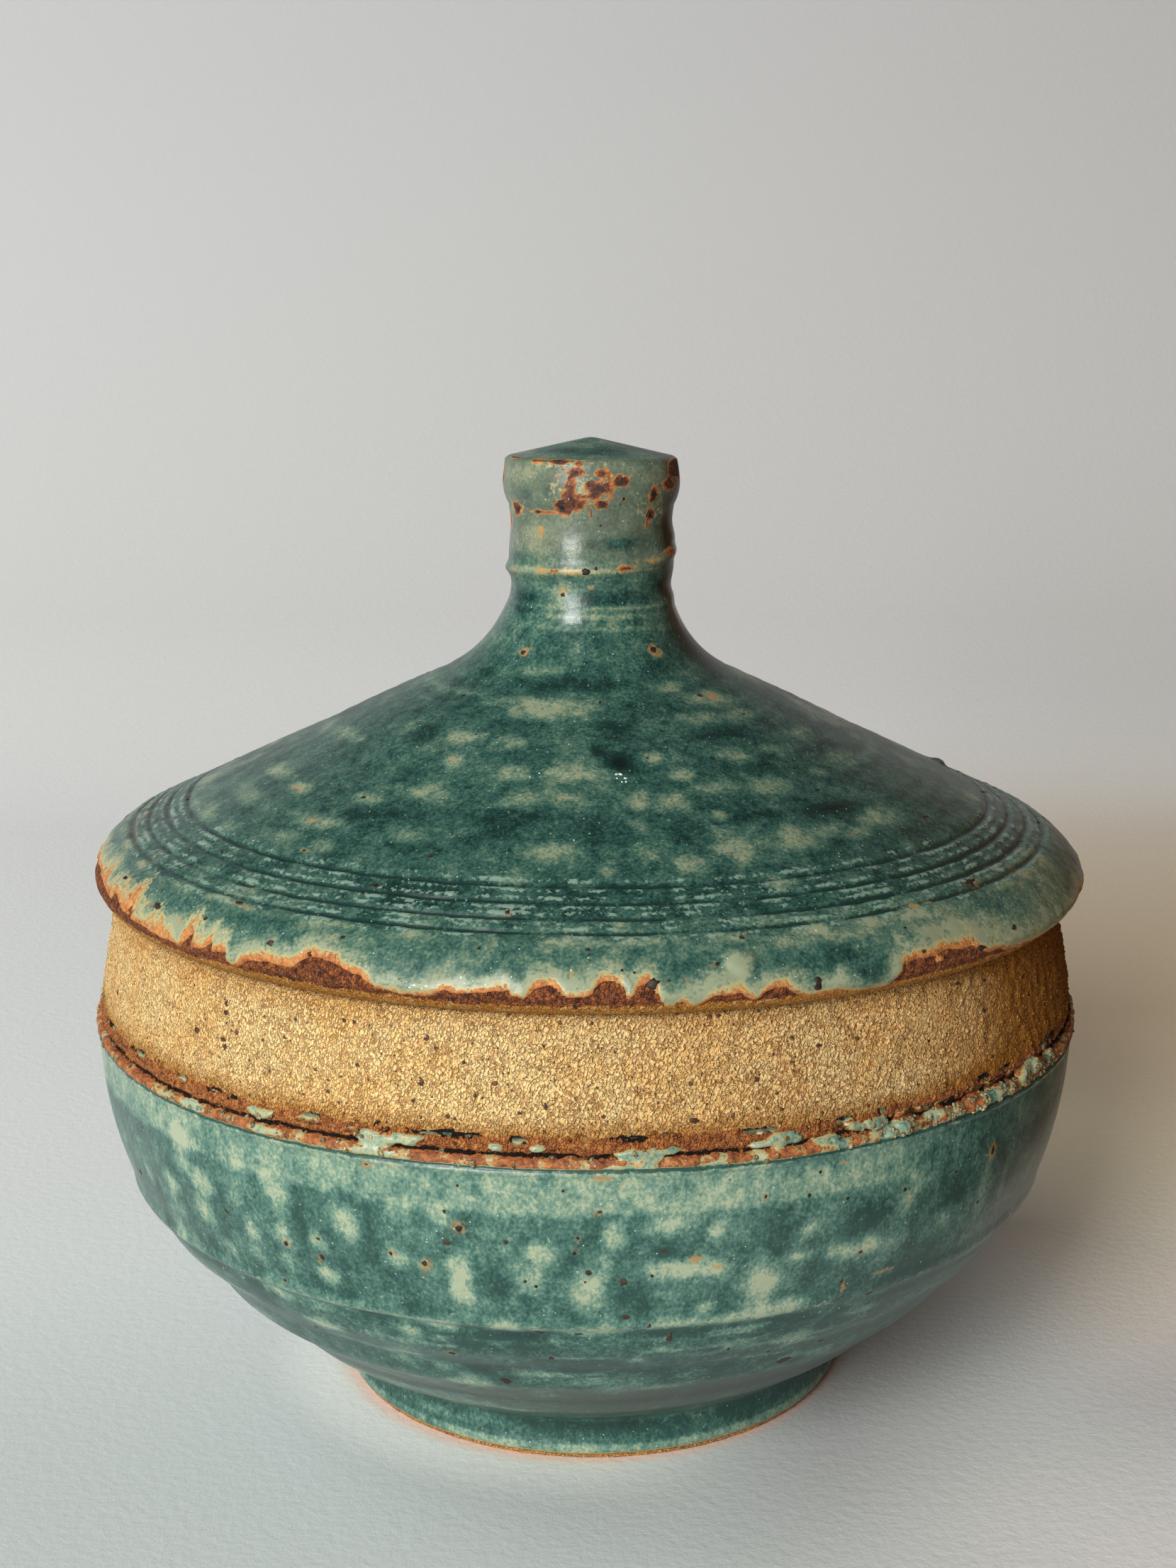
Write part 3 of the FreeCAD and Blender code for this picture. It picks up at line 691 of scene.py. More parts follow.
@dataclass
class Skin:
    """The points of a turned form: turn from the front, place on the outline and way out."""

    angle: np.ndarray
    radius: np.ndarray
    height: np.ndarray
    out_radius: np.ndarray
    out_height: np.ndarray
    along: np.ndarray
    stance: Stance
    seen: tuple[np.ndarray, np.ndarray, np.ndarray] | None = None

    def even(self, value: float) -> np.ndarray:
        """The same number for every point."""
        return np.full(len(self.angle), value)

    def points(self, rise: np.ndarray | float = 0.0) -> np.ndarray:
        """Places the points, kept inside the frame's box.

        Args:
            rise: How far each stands out of the outline, in millimetres.

        Returns:
            Rows of x, y and z in millimetres.
        """
        radius = np.maximum(self.radius + self.out_radius * rise, 0.0)
        x = radius * np.sin(self.angle)
        y = -radius * np.cos(self.angle)
        z = self.height + self.out_height * rise - self.stance.lift * x / RIM
        across = np.clip(x + self.stance.across(self.height), -REACH, REACH)
        return np.stack([across, np.clip(y, -REACH, REACH), np.clip(z, 0.0, TOP)], 1)

    def outward(self) -> np.ndarray:
        """The way out of the form at each point, as rows of x, y and z."""
        sine, cosine = np.sin(self.angle), np.cos(self.angle)
        return np.stack([self.out_radius * sine, -self.out_radius * cosine, self.out_height], 1)

    def in_frame(self) -> tuple[np.ndarray, np.ndarray, np.ndarray]:
        """Finds where the camera sees each point.

        Returns:
            Pixels across, pixels down, and whether the point faces the camera.
        """
        points = self.points()
        to_camera = np.array([0.0, -VIEW.away, VIEW.height]) - points
        across, down = VIEW.frame_place(*points.T)
        return across, down, np.einsum("ij,ij->i", self.outward(), to_camera) > 0.0

    def right(self, low: float, high: float) -> np.ndarray:
        """How far round to the right each point is: 0 before low, 1 past high, 0 again at the back."""
        return window(self.angle, low, high, 1.9, 2.7)

    def find(self, across: float, down: float) -> int:
        """Finds the facing point that is nearest to a place in the frame.

        Args:
            across: Pixels across.
            down: Pixels down.

        Returns:
            The point's number.
        """
        if self.seen is None:
            self.seen = self.in_frame()
        x, y, faces = self.seen
        return int(np.argmin(np.where(faces, (x - across) ** 2 + (y - down) ** 2, np.inf)))

    def pixels_a_mm(self, at: int) -> tuple[float, float]:
        """Measures how large a millimetre is in the frame at one point.

        Args:
            at: The point's number.

        Returns:
            The frame's pixels for a millimetre round the form, and for one along its outline.
        """
        sine, cosine = math.sin(self.angle[at]), math.cos(self.angle[at])
        here = np.array([self.radius[at] * sine, -self.radius[at] * cosine, self.height[at]])
        round_it = np.array([cosine, sine, 0.0])
        slope, climb = self.out_height[at], self.out_radius[at]
        up_it = np.array([-slope * sine, slope * cosine, climb])
        start = np.array(VIEW.frame_place(*here))
        steps = [np.array(VIEW.frame_place(*(here + way))) - start for way in (round_it, up_it)]
        return float(np.hypot(*steps[0])), float(np.hypot(*steps[1]))

    def spread(self, spots: tuple[Spot, ...], ragged: float = 0.4, soft: float = 0.8) -> np.ndarray:
        """How strongly a set of marks covers each point.

        Args:
            spots: The marks, placed in the frame.
            ragged: How uneven their edges are.
            soft: How far in from its edge a mark fades.

        Returns:
            Numbers from 0, and 1 or more inside a mark.
        """
        places = []
        for spot in spots:
            at = self.find(spot.across, spot.down)
            round_it, up_it = self.pixels_a_mm(at)
            wide = min(spot.wide / max(round_it, 1.2), 16.0)
            tall = min(spot.tall / max(up_it, 1.2), 12.0)
            places.append((self.angle[at], self.along[at], wide, tall, spot.strength, self.radius[at]))
        return self.cover(places, ragged, soft)

    def cover(self, places: list[tuple[float, ...]], ragged: float, soft: float) -> np.ndarray:
        """How strongly marks at known places cover each point.

        Args:
            places: Turn, place on the outline, half width, half height, strength and radius of each.
            ragged: How uneven their edges are.
            soft: How far in from its edge a mark fades.

        Returns:
            Numbers from 0.
        """
        total = self.even(0.0)
        points = self.points()
        wander = layered_noise(points, 4.0, Pattern.MARK_EDGE, 2)
        wander = ragged * (wander + 0.7 * layered_noise(points, 1.5, Pattern.MARK_FRAY, 2))
        for turn, along, wide, tall, strength, radius in places:
            apart = (self.angle - turn + math.pi) % (2 * math.pi) - math.pi
            reach = np.hypot(apart * radius / wide, (self.along - along) / tall)
            near = reach < 2.4
            value = strength * ease(1.0 + soft, 1.0 - soft, reach[near] + wander[near])
            total[near] = np.maximum(total[near], value) + 0.25 * np.minimum(total[near], value)
        return total

    def strew(
        self, seed: Draw, number: int, low: float, high: float,
        wide: tuple[float, float], tall: tuple[float, float], ragged: float = 0.35,
    ) -> np.ndarray:
        """Strews marks of the same kind over the sides that the camera doesn't see.

        Args:
            seed: Fixes where they fall.
            number: How many.
            low: Where on the outline the lowest lies.
            high: Where the highest lies.
            wide: Least and greatest half width, in millimetres.
            tall: Least and greatest half height.
            ragged: How uneven their edges are.

        Returns:
            Numbers from 0.
        """
        rng = np.random.default_rng(seed)
        places = []
        for _ in range(number):
            turn = rng.uniform(*UNSEEN)
            along = rng.uniform(low, high)
            radius = max(self.radius[int(np.argmin(np.abs(self.along - along)))], 6.0)
            sizes = (rng.uniform(*wide), rng.uniform(*tall), rng.uniform(0.6, 1.05))
            places.append((turn, along, *sizes, radius))
        return self.cover(places, ragged, 0.8)


# Node trees ---------------------------------------------------------------------------------

@dataclass
class Wiring:
    """A node tree being wired up."""

    tree: bpy.types.NodeTree

    def add(self, kind: str, inputs: dict | None = None, **settings: object) -> bpy.types.Node:
        """Adds a node.

        Args:
            kind: Blender's name for it.
            inputs: Values or sockets for its inputs, by name or number.
            **settings: Its own properties.

        Returns:
            The node.
        """
        node = self.tree.nodes.new(kind)
        for key, value in settings.items():
            setattr(node, key, value)
        self.feed(node, inputs or {})
        return node

    def feed(self, node: bpy.types.Node, inputs: dict) -> None:
        """Gives inputs of a node their values, or links them.

        Args:
            node: The node.
            inputs: Values, nodes or sockets, by the input's name or number.
        """
        for key, value in inputs.items():
            if isinstance(value, bpy.types.Node):
                value = value.outputs[0]
            if isinstance(value, bpy.types.NodeSocket):
                self.tree.links.new(value, node.inputs[key])
            else:
                node.inputs[key].default_value = value

    def math(self, kind: str, *values: object) -> bpy.types.NodeSocket:
        """One sum of numbers."""
        return self.add("ShaderNodeMath", dict(enumerate(values)), operation=kind).outputs[0]

    def times(self, first: object, second: object) -> bpy.types.NodeSocket:
        """Two numbers multiplied."""
        return self.math("MULTIPLY", first, second)

    def plus(self, first: object, second: object) -> bpy.types.NodeSocket:
        """Two numbers added."""
        return self.math("ADD", first, second)

    def minus(self, first: object, second: object) -> bpy.types.NodeSocket:
        """The second number taken from the first."""
        return self.math("SUBTRACT", first, second)

    def step(
        self, value: object, low: object, high: object, to_low: float = 0.0, to_high: float = 1.0
    ) -> bpy.types.NodeSocket:
        """A smooth step of a value."""
        inputs = {0: value, 1: low, 2: high, 3: to_low, 4: to_high}
        return self.add("ShaderNodeMapRange", inputs, interpolation_type="SMOOTHSTEP").outputs[0]

    def slope(
        self, value: object, low: object, high: object, to_low: float = 0.0, to_high: float = 1.0
    ) -> bpy.types.NodeSocket:
        """A straight step of a value."""
        return self.add("ShaderNodeMapRange", {0: value, 1: low, 2: high, 3: to_low, 4: to_high}).outputs[0]

    def mix(self, share: object, first: object, second: object) -> bpy.types.NodeSocket:
        """One colour passing into another."""
        return self.add("ShaderNodeMix", {0: share, 6: first, 7: second}, data_type="RGBA").outputs[2]

    def noise(
        self, place: object, scale: float, detail: float = 3.0, roughness: float = 0.55
    ) -> bpy.types.NodeSocket:
        """Noise from 0 to 1."""
        inputs = {"Vector": place, "Scale": scale, "Detail": detail, "Roughness": roughness}
        return self.add("ShaderNodeTexNoise", inputs).outputs[0]

    def ramp(self, value: object, stops: tuple[tuple[float, Colour], ...]) -> bpy.types.NodeSocket:
        """Makes a run of colours picked by a value.

        Args:
            value: The socket that picks.
            stops: Each colour with its place from 0 to 1.

        Returns:
            The colour's socket.
        """
        node = self.add("ShaderNodeValToRGB", {0: value})
        knots = node.color_ramp.elements
        while len(knots) < len(stops):
            knots.new(1.0)
        for knot, (at, colour) in zip(knots, stops):
            knot.position = at
            knot.color = colour
        return node.outputs[0]

    def use(self, tree: bpy.types.NodeTree, **inputs: object) -> bpy.types.NodeSocket:
        """Places a node group with its own values and gives its first output."""
        return self.add("ShaderNodeGroup", inputs, node_tree=tree).outputs[0]

    def kept(self, name: str) -> bpy.types.NodeSocket:
        """A number kept with the mesh's points."""
        return self.add("ShaderNodeAttribute", attribute_name=name).outputs["Fac"]

    def bump(self, height: object, strength: float) -> bpy.types.NodeSocket:
        """A shading normal from a height in millimetres."""
        inputs = {"Strength": strength, "Distance": MM, "Height": height}
        return self.add("ShaderNodeBump", inputs).outputs[0]

    def place(self, stretch: tuple[float, float, float] = (1.0, 1.0, 1.0)) -> bpy.types.NodeSocket:
        """Gives object coordinates in millimetres, stretched.

        Args:
            stretch: How much for each axis.

        Returns:
            The coordinates' socket.
        """
        where = self.add("ShaderNodeTexCoord").outputs["Object"]
        scale = tuple(value / MM for value in stretch)
        return self.add("ShaderNodeMapping", {"Vector": where, "Scale": scale}).outputs[0]


NUMBER, PLACE, TINT = "NodeSocketFloat", "NodeSocketVector", "NodeSocketColor"


def group(
    name: str, inputs: dict[str, str], outputs: dict[str, str], wire: Callable[[Wiring, bpy.types.Node], dict]
) -> bpy.types.NodeTree:
    """Makes a shader node group once.

    Args:
        name: Its name.
        inputs: Each input's name and kind of socket.
        outputs: Each output's name and kind.
        wire: Wires it up from its input node and returns what feeds each output.

    Returns:
        The group.
    """
    if name in bpy.data.node_groups:
        return bpy.data.node_groups[name]
    tree = bpy.data.node_groups.new(name, "ShaderNodeTree")
    for key, kind in inputs.items():
        tree.interface.new_socket(key, in_out="INPUT", socket_type=kind)
    for key, kind in outputs.items():
        tree.interface.new_socket(key, in_out="OUTPUT", socket_type=kind)
    wiring = Wiring(tree)
    made = wire(wiring, tree.nodes.new("NodeGroupInput"))
    out = tree.nodes.new("NodeGroupOutput")
    for key, socket in made.items():
        tree.links.new(socket, out.inputs[key])
    return tree


def speck_group() -> bpy.types.NodeTree:
    """Makes specks scattered one to a cell.

    Returns:
        The group. How many cells have a speck, and how large it is, are inputs.
    """

    def wire(w: Wiring, given: bpy.types.Node) -> dict:
        """Wires up the group.

        Args:
            w: The wiring of its tree.
            given: Its input node.

        Returns:
            What feeds each output.
        """
        where = {"Vector": given.outputs["Place"], "Scale": given.outputs["Scale"]}
        cells = w.add("ShaderNodeTexVoronoi", where)
        pick = w.add("ShaderNodeSeparateColor", {0: cells.outputs["Color"]})
        chosen = w.math("LESS_THAN", pick.outputs[0], given.outputs["Share"])
        size = w.times(given.outputs["Size"], w.plus(pick.outputs[1], 0.35))
        inner = w.times(size, 0.55)
        dot = w.slope(cells.outputs["Distance"], inner, size, 1.0, 0.0)
        return {"Mask": w.times(dot, chosen)}

    inputs = {"Place": PLACE, "Scale": NUMBER, "Size": NUMBER, "Share": NUMBER}
    return group("Specks", inputs, {"Mask": NUMBER}, wire)


def ragged_group() -> bpy.types.NodeTree:
    """Makes a soft mask broken up by noise of two sizes, so that its edge is uneven.

    Returns:
        The group.
    """

    def wire(w: Wiring, given: bpy.types.Node) -> dict:
        """Wires up the group.

        Args:
            w: The wiring of its tree.
            given: Its input node.

        Returns:
            What feeds each output.
        """
        broad = w.minus(w.noise(given.outputs["Place"], 0.28, 4.0), 0.5)
        fine = w.minus(w.noise(given.outputs["Place"], 1.5, 3.0), 0.5)
        broken = w.plus(w.times(broad, given.outputs["Broad"]), w.times(fine, given.outputs["Fine"]))
        whole = w.plus(given.outputs["Mask"], broken)
        edge = w.step(whole, given.outputs["Low"], given.outputs["High"])
        return {"Mask": w.times(edge, w.step(given.outputs["Mask"], 0.03, 0.16))}

    inputs = {"Place": PLACE, "Mask": NUMBER, "Broad": NUMBER, "Fine": NUMBER, "Low": NUMBER, "High": NUMBER}
    return group("Ragged mask", inputs, {"Mask": NUMBER}, wire)


RUSTS = (
    (0.36, (0.040, 0.018, 0.014, 1.0)),
    (0.46, (0.155, 0.048, 0.022, 1.0)),
    (0.56, (0.30, 0.094, 0.030, 1.0)),
    (0.68, (0.50, 0.180, 0.048, 1.0)),
    (0.80, (0.60, 0.29, 0.09, 1.0)),
)


def rust_group() -> bpy.types.NodeTree:
    """Makes the colour of iron that has broken through: orange, red brown and near black by turns.

    Returns:
        The group.
    """

    def wire(w: Wiring, given: bpy.types.Node) -> dict:
        """Wires up the group.

        Args:
            w: The wiring of its tree.
            given: Its input node.

        Returns:
            What feeds each output.
        """
        turn = w.noise(given.outputs["Place"], 0.95, 5.0, 0.8)
        lit = w.plus(turn, w.times(given.outputs["Fire"], 0.2))
        return {"Colour": w.ramp(lit, RUSTS)}

    return group("Iron rust", {"Place": PLACE, "Fire": NUMBER}, {"Colour": TINT}, wire)


def cloud_group() -> bpy.types.NodeTree:
    """Makes the cloudiness of glaze, from 0 in a clear pool to 1 in a cloud, broken up at three sizes.

    Returns:
        The group.
    """

    def wire(w: Wiring, given: bpy.types.Node) -> dict:
        """Wires up the group.

        Args:
            w: The wiring of its tree.
            given: Its input node.

        Returns:
            What feeds each output.
        """
        total = w.plus(given.outputs["Rest"], w.times(given.outputs["Cloud"], 0.56))
        total = w.minus(total, w.times(given.outputs["Pool"], 0.34))
        sizes = ((0.15, 3.0, "Drift"), (0.55, 4.0, "Curdle"), (2.0, 2.0, "Grain"))
        for scale, detail, amount in sizes:
            part = w.minus(w.noise(given.outputs["Place"], scale, detail, 0.6), 0.5)
            total = w.plus(total, w.times(part, given.outputs[amount]))
        return {"Cloud": total}

    inputs = {key: NUMBER for key in ("Rest", "Cloud", "Pool", "Drift", "Curdle", "Grain")}
    return group("Glaze clouds", {"Place": PLACE} | inputs, {"Cloud": NUMBER}, wire)


def new_material(name: str) -> tuple[bpy.types.Material, Wiring, bpy.types.Node]:
    """Starts a material.

    Args:
        name: Its name.

    Returns:
        The material, its wiring and its shader.
    """
    material = bpy.data.materials.new(name)
    material.use_nodes = True
    return material, Wiring(material.node_tree), material.node_tree.nodes["Principled BSDF"]


@dataclass(frozen=True)
class TealGlaze:
    """Celadon glaze that pools dark teal, clouds pale, and lets iron through where it is thin."""

    name: str
    shades: tuple[Colour, Colour, Colour, Colour, Colour]
    stretch: tuple[float, float, float] = (1.0, 1.0, 1.0)
    rest: float = 0.36
    black: Colour = (0.004, 0.009, 0.008, 1.0)
    cream: Colour = (0.42, 0.39, 0.19, 1.0)
    ochre: Colour = (0.42, 0.235, 0.075, 1.0)
    beige: Colour = (0.185, 0.172, 0.115, 1.0)
    fleck: Colour = (0.23, 0.34, 0.27, 1.0)
    pin: Colour = (0.66, 0.76, 0.66, 1.0)
    pit: Colour = (0.04, 0.035, 0.02, 1.0)
    levels: tuple[float, ...] = (0.02, 0.30, 0.52, 0.80, 1.12)
    curdle: float = 0.95
    grain: float = 1.15
    dull: float = 0.42
    shiny: float = 0.15

    def build(self) -> bpy.types.Material:
        """Wires up the material.

        Returns:
            The material.
        """
        material, w, shader = new_material(self.name)
        drawn, plain = w.place(self.stretch), w.place()

        def ragged(name: str, *edge: float) -> bpy.types.NodeSocket:
            """A number kept with the points, with its edge broken up by broad, fine, low and high."""
            how = dict(zip(("Broad", "Fine", "Low", "High"), edge))
            return w.use(ragged_group(), Place=plain, Mask=w.kept(name), **how)

        amounts = {"Drift": 1.0, "Curdle": self.curdle, "Grain": self.grain}
        held = {"Rest": self.rest, "Cloud": w.kept("cloud"), "Pool": w.kept("pool")}
        cloudy = w.use(cloud_group(), Place=drawn, **held, **amounts)
        tone = w.ramp(cloudy, tuple(zip(self.levels, self.shades)))
        tone = w.mix(w.kept("beige"), tone, self.beige)
        # Pools past 1.05 turn near black: deep pools, and the painted shade on the knob's right side.
        tone = w.mix(w.step(w.kept("pool"), 1.05, 1.7), tone, self.black)
        layers = (
            ("crest", 1.2, 2.6, 0.42, 0.85, 0.8, self.fleck),
            ("groove", 0.8, 1.6, 0.26, 0.75, 0.9, self.shades[0]),
            ("ochre", 0.6, 1.2, 0.3, 1.0, 0.8, self.ochre),
            ("thin", 0.8, 1.5, 0.16, 0.50, 0.85, self.cream),
            ("thin", 0.8, 1.5, 0.46, 0.66, 0.85, self.ochre),
            ("rust", 1.1, 1.8, 0.20, 0.44, 0.75, self.ochre),
        )
        for name, broad, fine, low, high, share, colour in layers:
            tone = w.mix(w.times(ragged(name, broad, fine, low, high), share), tone, colour)
        iron = w.use(rust_group(), Place=plain, Fire=w.kept("fire"))
        rusty, bare = ragged("rust", 1.1, 1.8, 0.42, 0.60), ragged("thin", 0.8, 1.5, 0.66, 0.84)
        breaks = w.math("MAXIMUM", rusty, bare)
        tone = w.mix(breaks, tone, iron)
        pins = w.use(speck_group(), Place=plain, Scale=1.25, Size=0.14, Share=0.30)
        tone = w.mix(w.times(pins, 0.7), tone, self.pin)
        pits = w.use(speck_group(), Place=plain, Scale=0.6, Size=0.13, Share=0.2)
        tone = w.mix(w.times(pits, 0.75), tone, self.pit)

        grain = w.noise(plain, 2.1, 3.0, 0.6)
        rough = w.step(w.plus(w.kept("shine"), w.times(grain, 0.2)), 0.0, 1.1, self.dull, self.shiny)
        swell = w.plus(w.times(w.noise(plain, 0.8, 3.0), 0.085), w.times(grain, 0.022))
        swell = w.minus(swell, w.times(w.plus(pins, pits), 0.02))
        height = w.plus(swell, w.times(w.noise(plain, 3.0, 2.0), w.times(breaks, 0.24)))
        w.feed(shader, {
            "Base Color": tone,
            "Roughness": w.plus(rough, w.times(breaks, 0.30)),
            "IOR": 1.43,
            "Normal": w.bump(height, 0.6),
        })
        return material


@dataclass(frozen=True)
class BareClay:
    """Gritty buff stoneware that toasts orange and rust brown, with painted shade in the crevices between its
    grains and, on the band, painted shadow and warm bounce in its toasted tone.
    """

    name: str
    light: Colour = (1.0, 0.72, 0.32, 1.0)
    buff: Colour = (1.0, 0.63, 0.24, 1.0)
    bright: Colour = (1.0, 0.78, 0.42, 1.0)
    gap: Colour = (0.38, 0.140, 0.038, 1.0)
    toasted: Colour = (0.42, 0.165, 0.022, 1.0)
    speck: Colour = (0.05, 0.027, 0.018, 1.0)
    scorched: Colour = (0.016, 0.009, 0.007, 1.0)
    dots: tuple[tuple[float, float, float], ...] = (
        (0.42, 0.17, 0.34), (0.8, 0.20, 0.24), (1.5, 0.26, 0.22),
    )
    relief: float = 0.58

    def build(self) -> bpy.types.Material:
        """Wires up the material.

        Returns:
            The material.
        """
        material, w, shader = new_material(self.name)
        plain, drawn = w.place(), w.place((1.0, 1.0, 0.7))
        shaken = w.add("ShaderNodeVectorMath", {0: drawn, 1: w.noise(plain, 1.6, 2.0)}, operation="ADD")
        grains = w.add("ShaderNodeTexVoronoi", {"Vector": shaken, "Scale": 2.4})
        between = w.step(grains.outputs["Distance"], 0.42, 0.70)
        pick = w.add("ShaderNodeSeparateColor", {0: grains.outputs["Color"]})
        tone = w.mix(w.step(w.noise(plain, 0.09, 4.0, 0.6), 0.38, 0.62), self.light, self.buff)
        tone = w.mix(w.step(pick.outputs[0], 0.72, 0.95, 0.0, 0.6), tone, self.bright)
        tone = w.mix(w.step(pick.outputs[1], 0.84, 0.95, 0.0, 0.5), tone, self.gap)
        # Painted shade: the gap colour darkens the crevices between grains, at random and more so where the
        # kept number rough is high, towards the right.
        crevice_shade = w.step(w.noise(plain, 0.5, 4.0), 0.38, 0.62, 0.10, 0.65)
        crevice_shade = w.plus(crevice_shade, w.times(w.kept("rough"), 0.15))
        tone = w.mix(w.times(between, crevice_shade), tone, self.gap)
        uneven = w.step(w.noise(plain, 1.1, 3.0), 0.25, 0.6, 0.6, 1.0)
        # The kept number warm mixes in the toasted tone: real toasting, and on the band also painted shadow
        # under the lid and painted warm bounce on the right.
        tone = w.mix(w.times(w.kept("warm"), uneven), tone, self.toasted)
        edge = {"Broad": 0.7, "Fine": 1.4, "Low": 0.38, "High": 0.60}
        toast = w.use(ragged_group(), Place=plain, Mask=w.kept("toast"), **edge)
        tone = w.mix(toast, tone, w.use(rust_group(), Place=plain, Fire=w.kept("fire")))
        for scale, size, share in self.dots:
            dots = w.use(speck_group(), Place=plain, Scale=scale, Size=size, Share=share)
            tone = w.mix(w.times(dots, 0.85), tone, self.speck)
        edge = {"Broad": 0.8, "Fine": 1.8, "Low": 0.42, "High": 0.62}
        burnt = w.use(ragged_group(), Place=plain, Mask=w.kept("burnt"), **edge)
        tone = w.mix(burnt, tone, self.scorched)

        lumps = w.times(w.minus(1.0, between), self.relief)
        lumps = w.plus(lumps, w.times(w.noise(drawn, 1.7, 4.0, 0.65), self.relief * 1.1))
        lumps = w.times(lumps, w.plus(w.times(w.kept("rough"), 0.7), 1.0))
        height = w.minus(lumps, w.times(burnt, 0.3))
        bump = w.bump(height, 1.0)
        w.feed(shader, {"Base Color": tone, "Roughness": 0.85, "IOR": 1.3, "Normal": bump})
        return material


@dataclass(frozen=True)
class IronAndGlintFinish:
    """Molten iron that came through the glaze: near black, red at its edge, a little glossy. In pale colours
    the same finish paints glints of reflected light.
    """

    name: str
    core: Colour = (0.018, 0.014, 0.009, 1.0)
    edge: Colour = (0.066, 0.042, 0.027, 1.0)

    def build(self) -> bpy.types.Material:
        """Wires up the material.

        Returns:
            The material.
        """
        material, w, shader = new_material(self.name)
        turn = w.noise(w.place(), 0.9, 3.0)
        tone = w.mix(w.step(turn, 0.45, 0.68), self.core, self.edge)
        tone = w.mix(w.kept("soft"), tone, self.edge)
        bump = w.bump(w.times(turn, 0.12), 0.4)
        w.feed(shader, {"Base Color": tone, "Roughness": 0.6, "IOR": 1.35, "Normal": bump})
        return material


class Finish(Enum):
    """Every material of the pot."""

    CLAY = BareClay("Buff stoneware")
    LID_TEAL = TealGlaze("Teal glaze on the lid", (
        (0.007, 0.028, 0.023, 1), (0.023, 0.073, 0.059, 1), (0.050, 0.120, 0.092, 1),
        (0.140, 0.205, 0.138, 1), (0.26, 0.295, 0.19, 1),
    ))
    BOWL_TEAL = TealGlaze("Teal glaze on the bowl", (
        (0.018, 0.060, 0.049, 1), (0.045, 0.118, 0.095, 1), (0.090, 0.190, 0.152, 1),
        (0.205, 0.305, 0.218, 1), (0.36, 0.41, 0.28, 1),
    ), stretch=(1.0, 1.0, 0.8), rest=0.34)
    LINER = TealGlaze("Celadon liner glaze", (
        (0.05, 0.13, 0.11, 1), (0.11, 0.22, 0.18, 1), (0.19, 0.31, 0.25, 1),
        (0.34, 0.43, 0.32, 1), (0.5, 0.54, 0.40, 1),
    ))
    IRON = IronAndGlintFinish("Iron spot")
    CLAY_IRON = IronAndGlintFinish("Iron in the clay", (0.050, 0.024, 0.014, 1), (0.15, 0.065, 0.03, 1))
    # Painted glints: pale glossy domes standing in for highlights on the glaze.
    PAINTED_GLINT = IronAndGlintFinish("Painted glint", (0.72, 0.80, 0.76, 1), (0.45, 0.58, 0.52, 1))
    GRIT = BareClay(
        "Grit", light=(1.0, 0.72, 0.36, 1), buff=(0.90, 0.56, 0.22, 1), gap=(0.50, 0.25, 0.08, 1)
    )
    TORN = BareClay(
        "Torn crumbs", light=(0.20, 0.075, 0.030, 1), buff=(0.07, 0.028, 0.016, 1), gap=(0.03, 0.015, 0.01, 1)
    )
    CRUMB = BareClay(
        "Glaze crumbs", light=(0.44, 0.44, 0.27, 1), buff=(0.33, 0.20, 0.07, 1), gap=(0.10, 0.035, 0.015, 1)
    )

    @property
    def material(self) -> bpy.types.Material:
        """The material, wired up the first time that it is asked for."""
        return bpy.data.materials.get(self.value.name) or self.value.build()


# Scattered geometry -------------------------------------------------------------------------

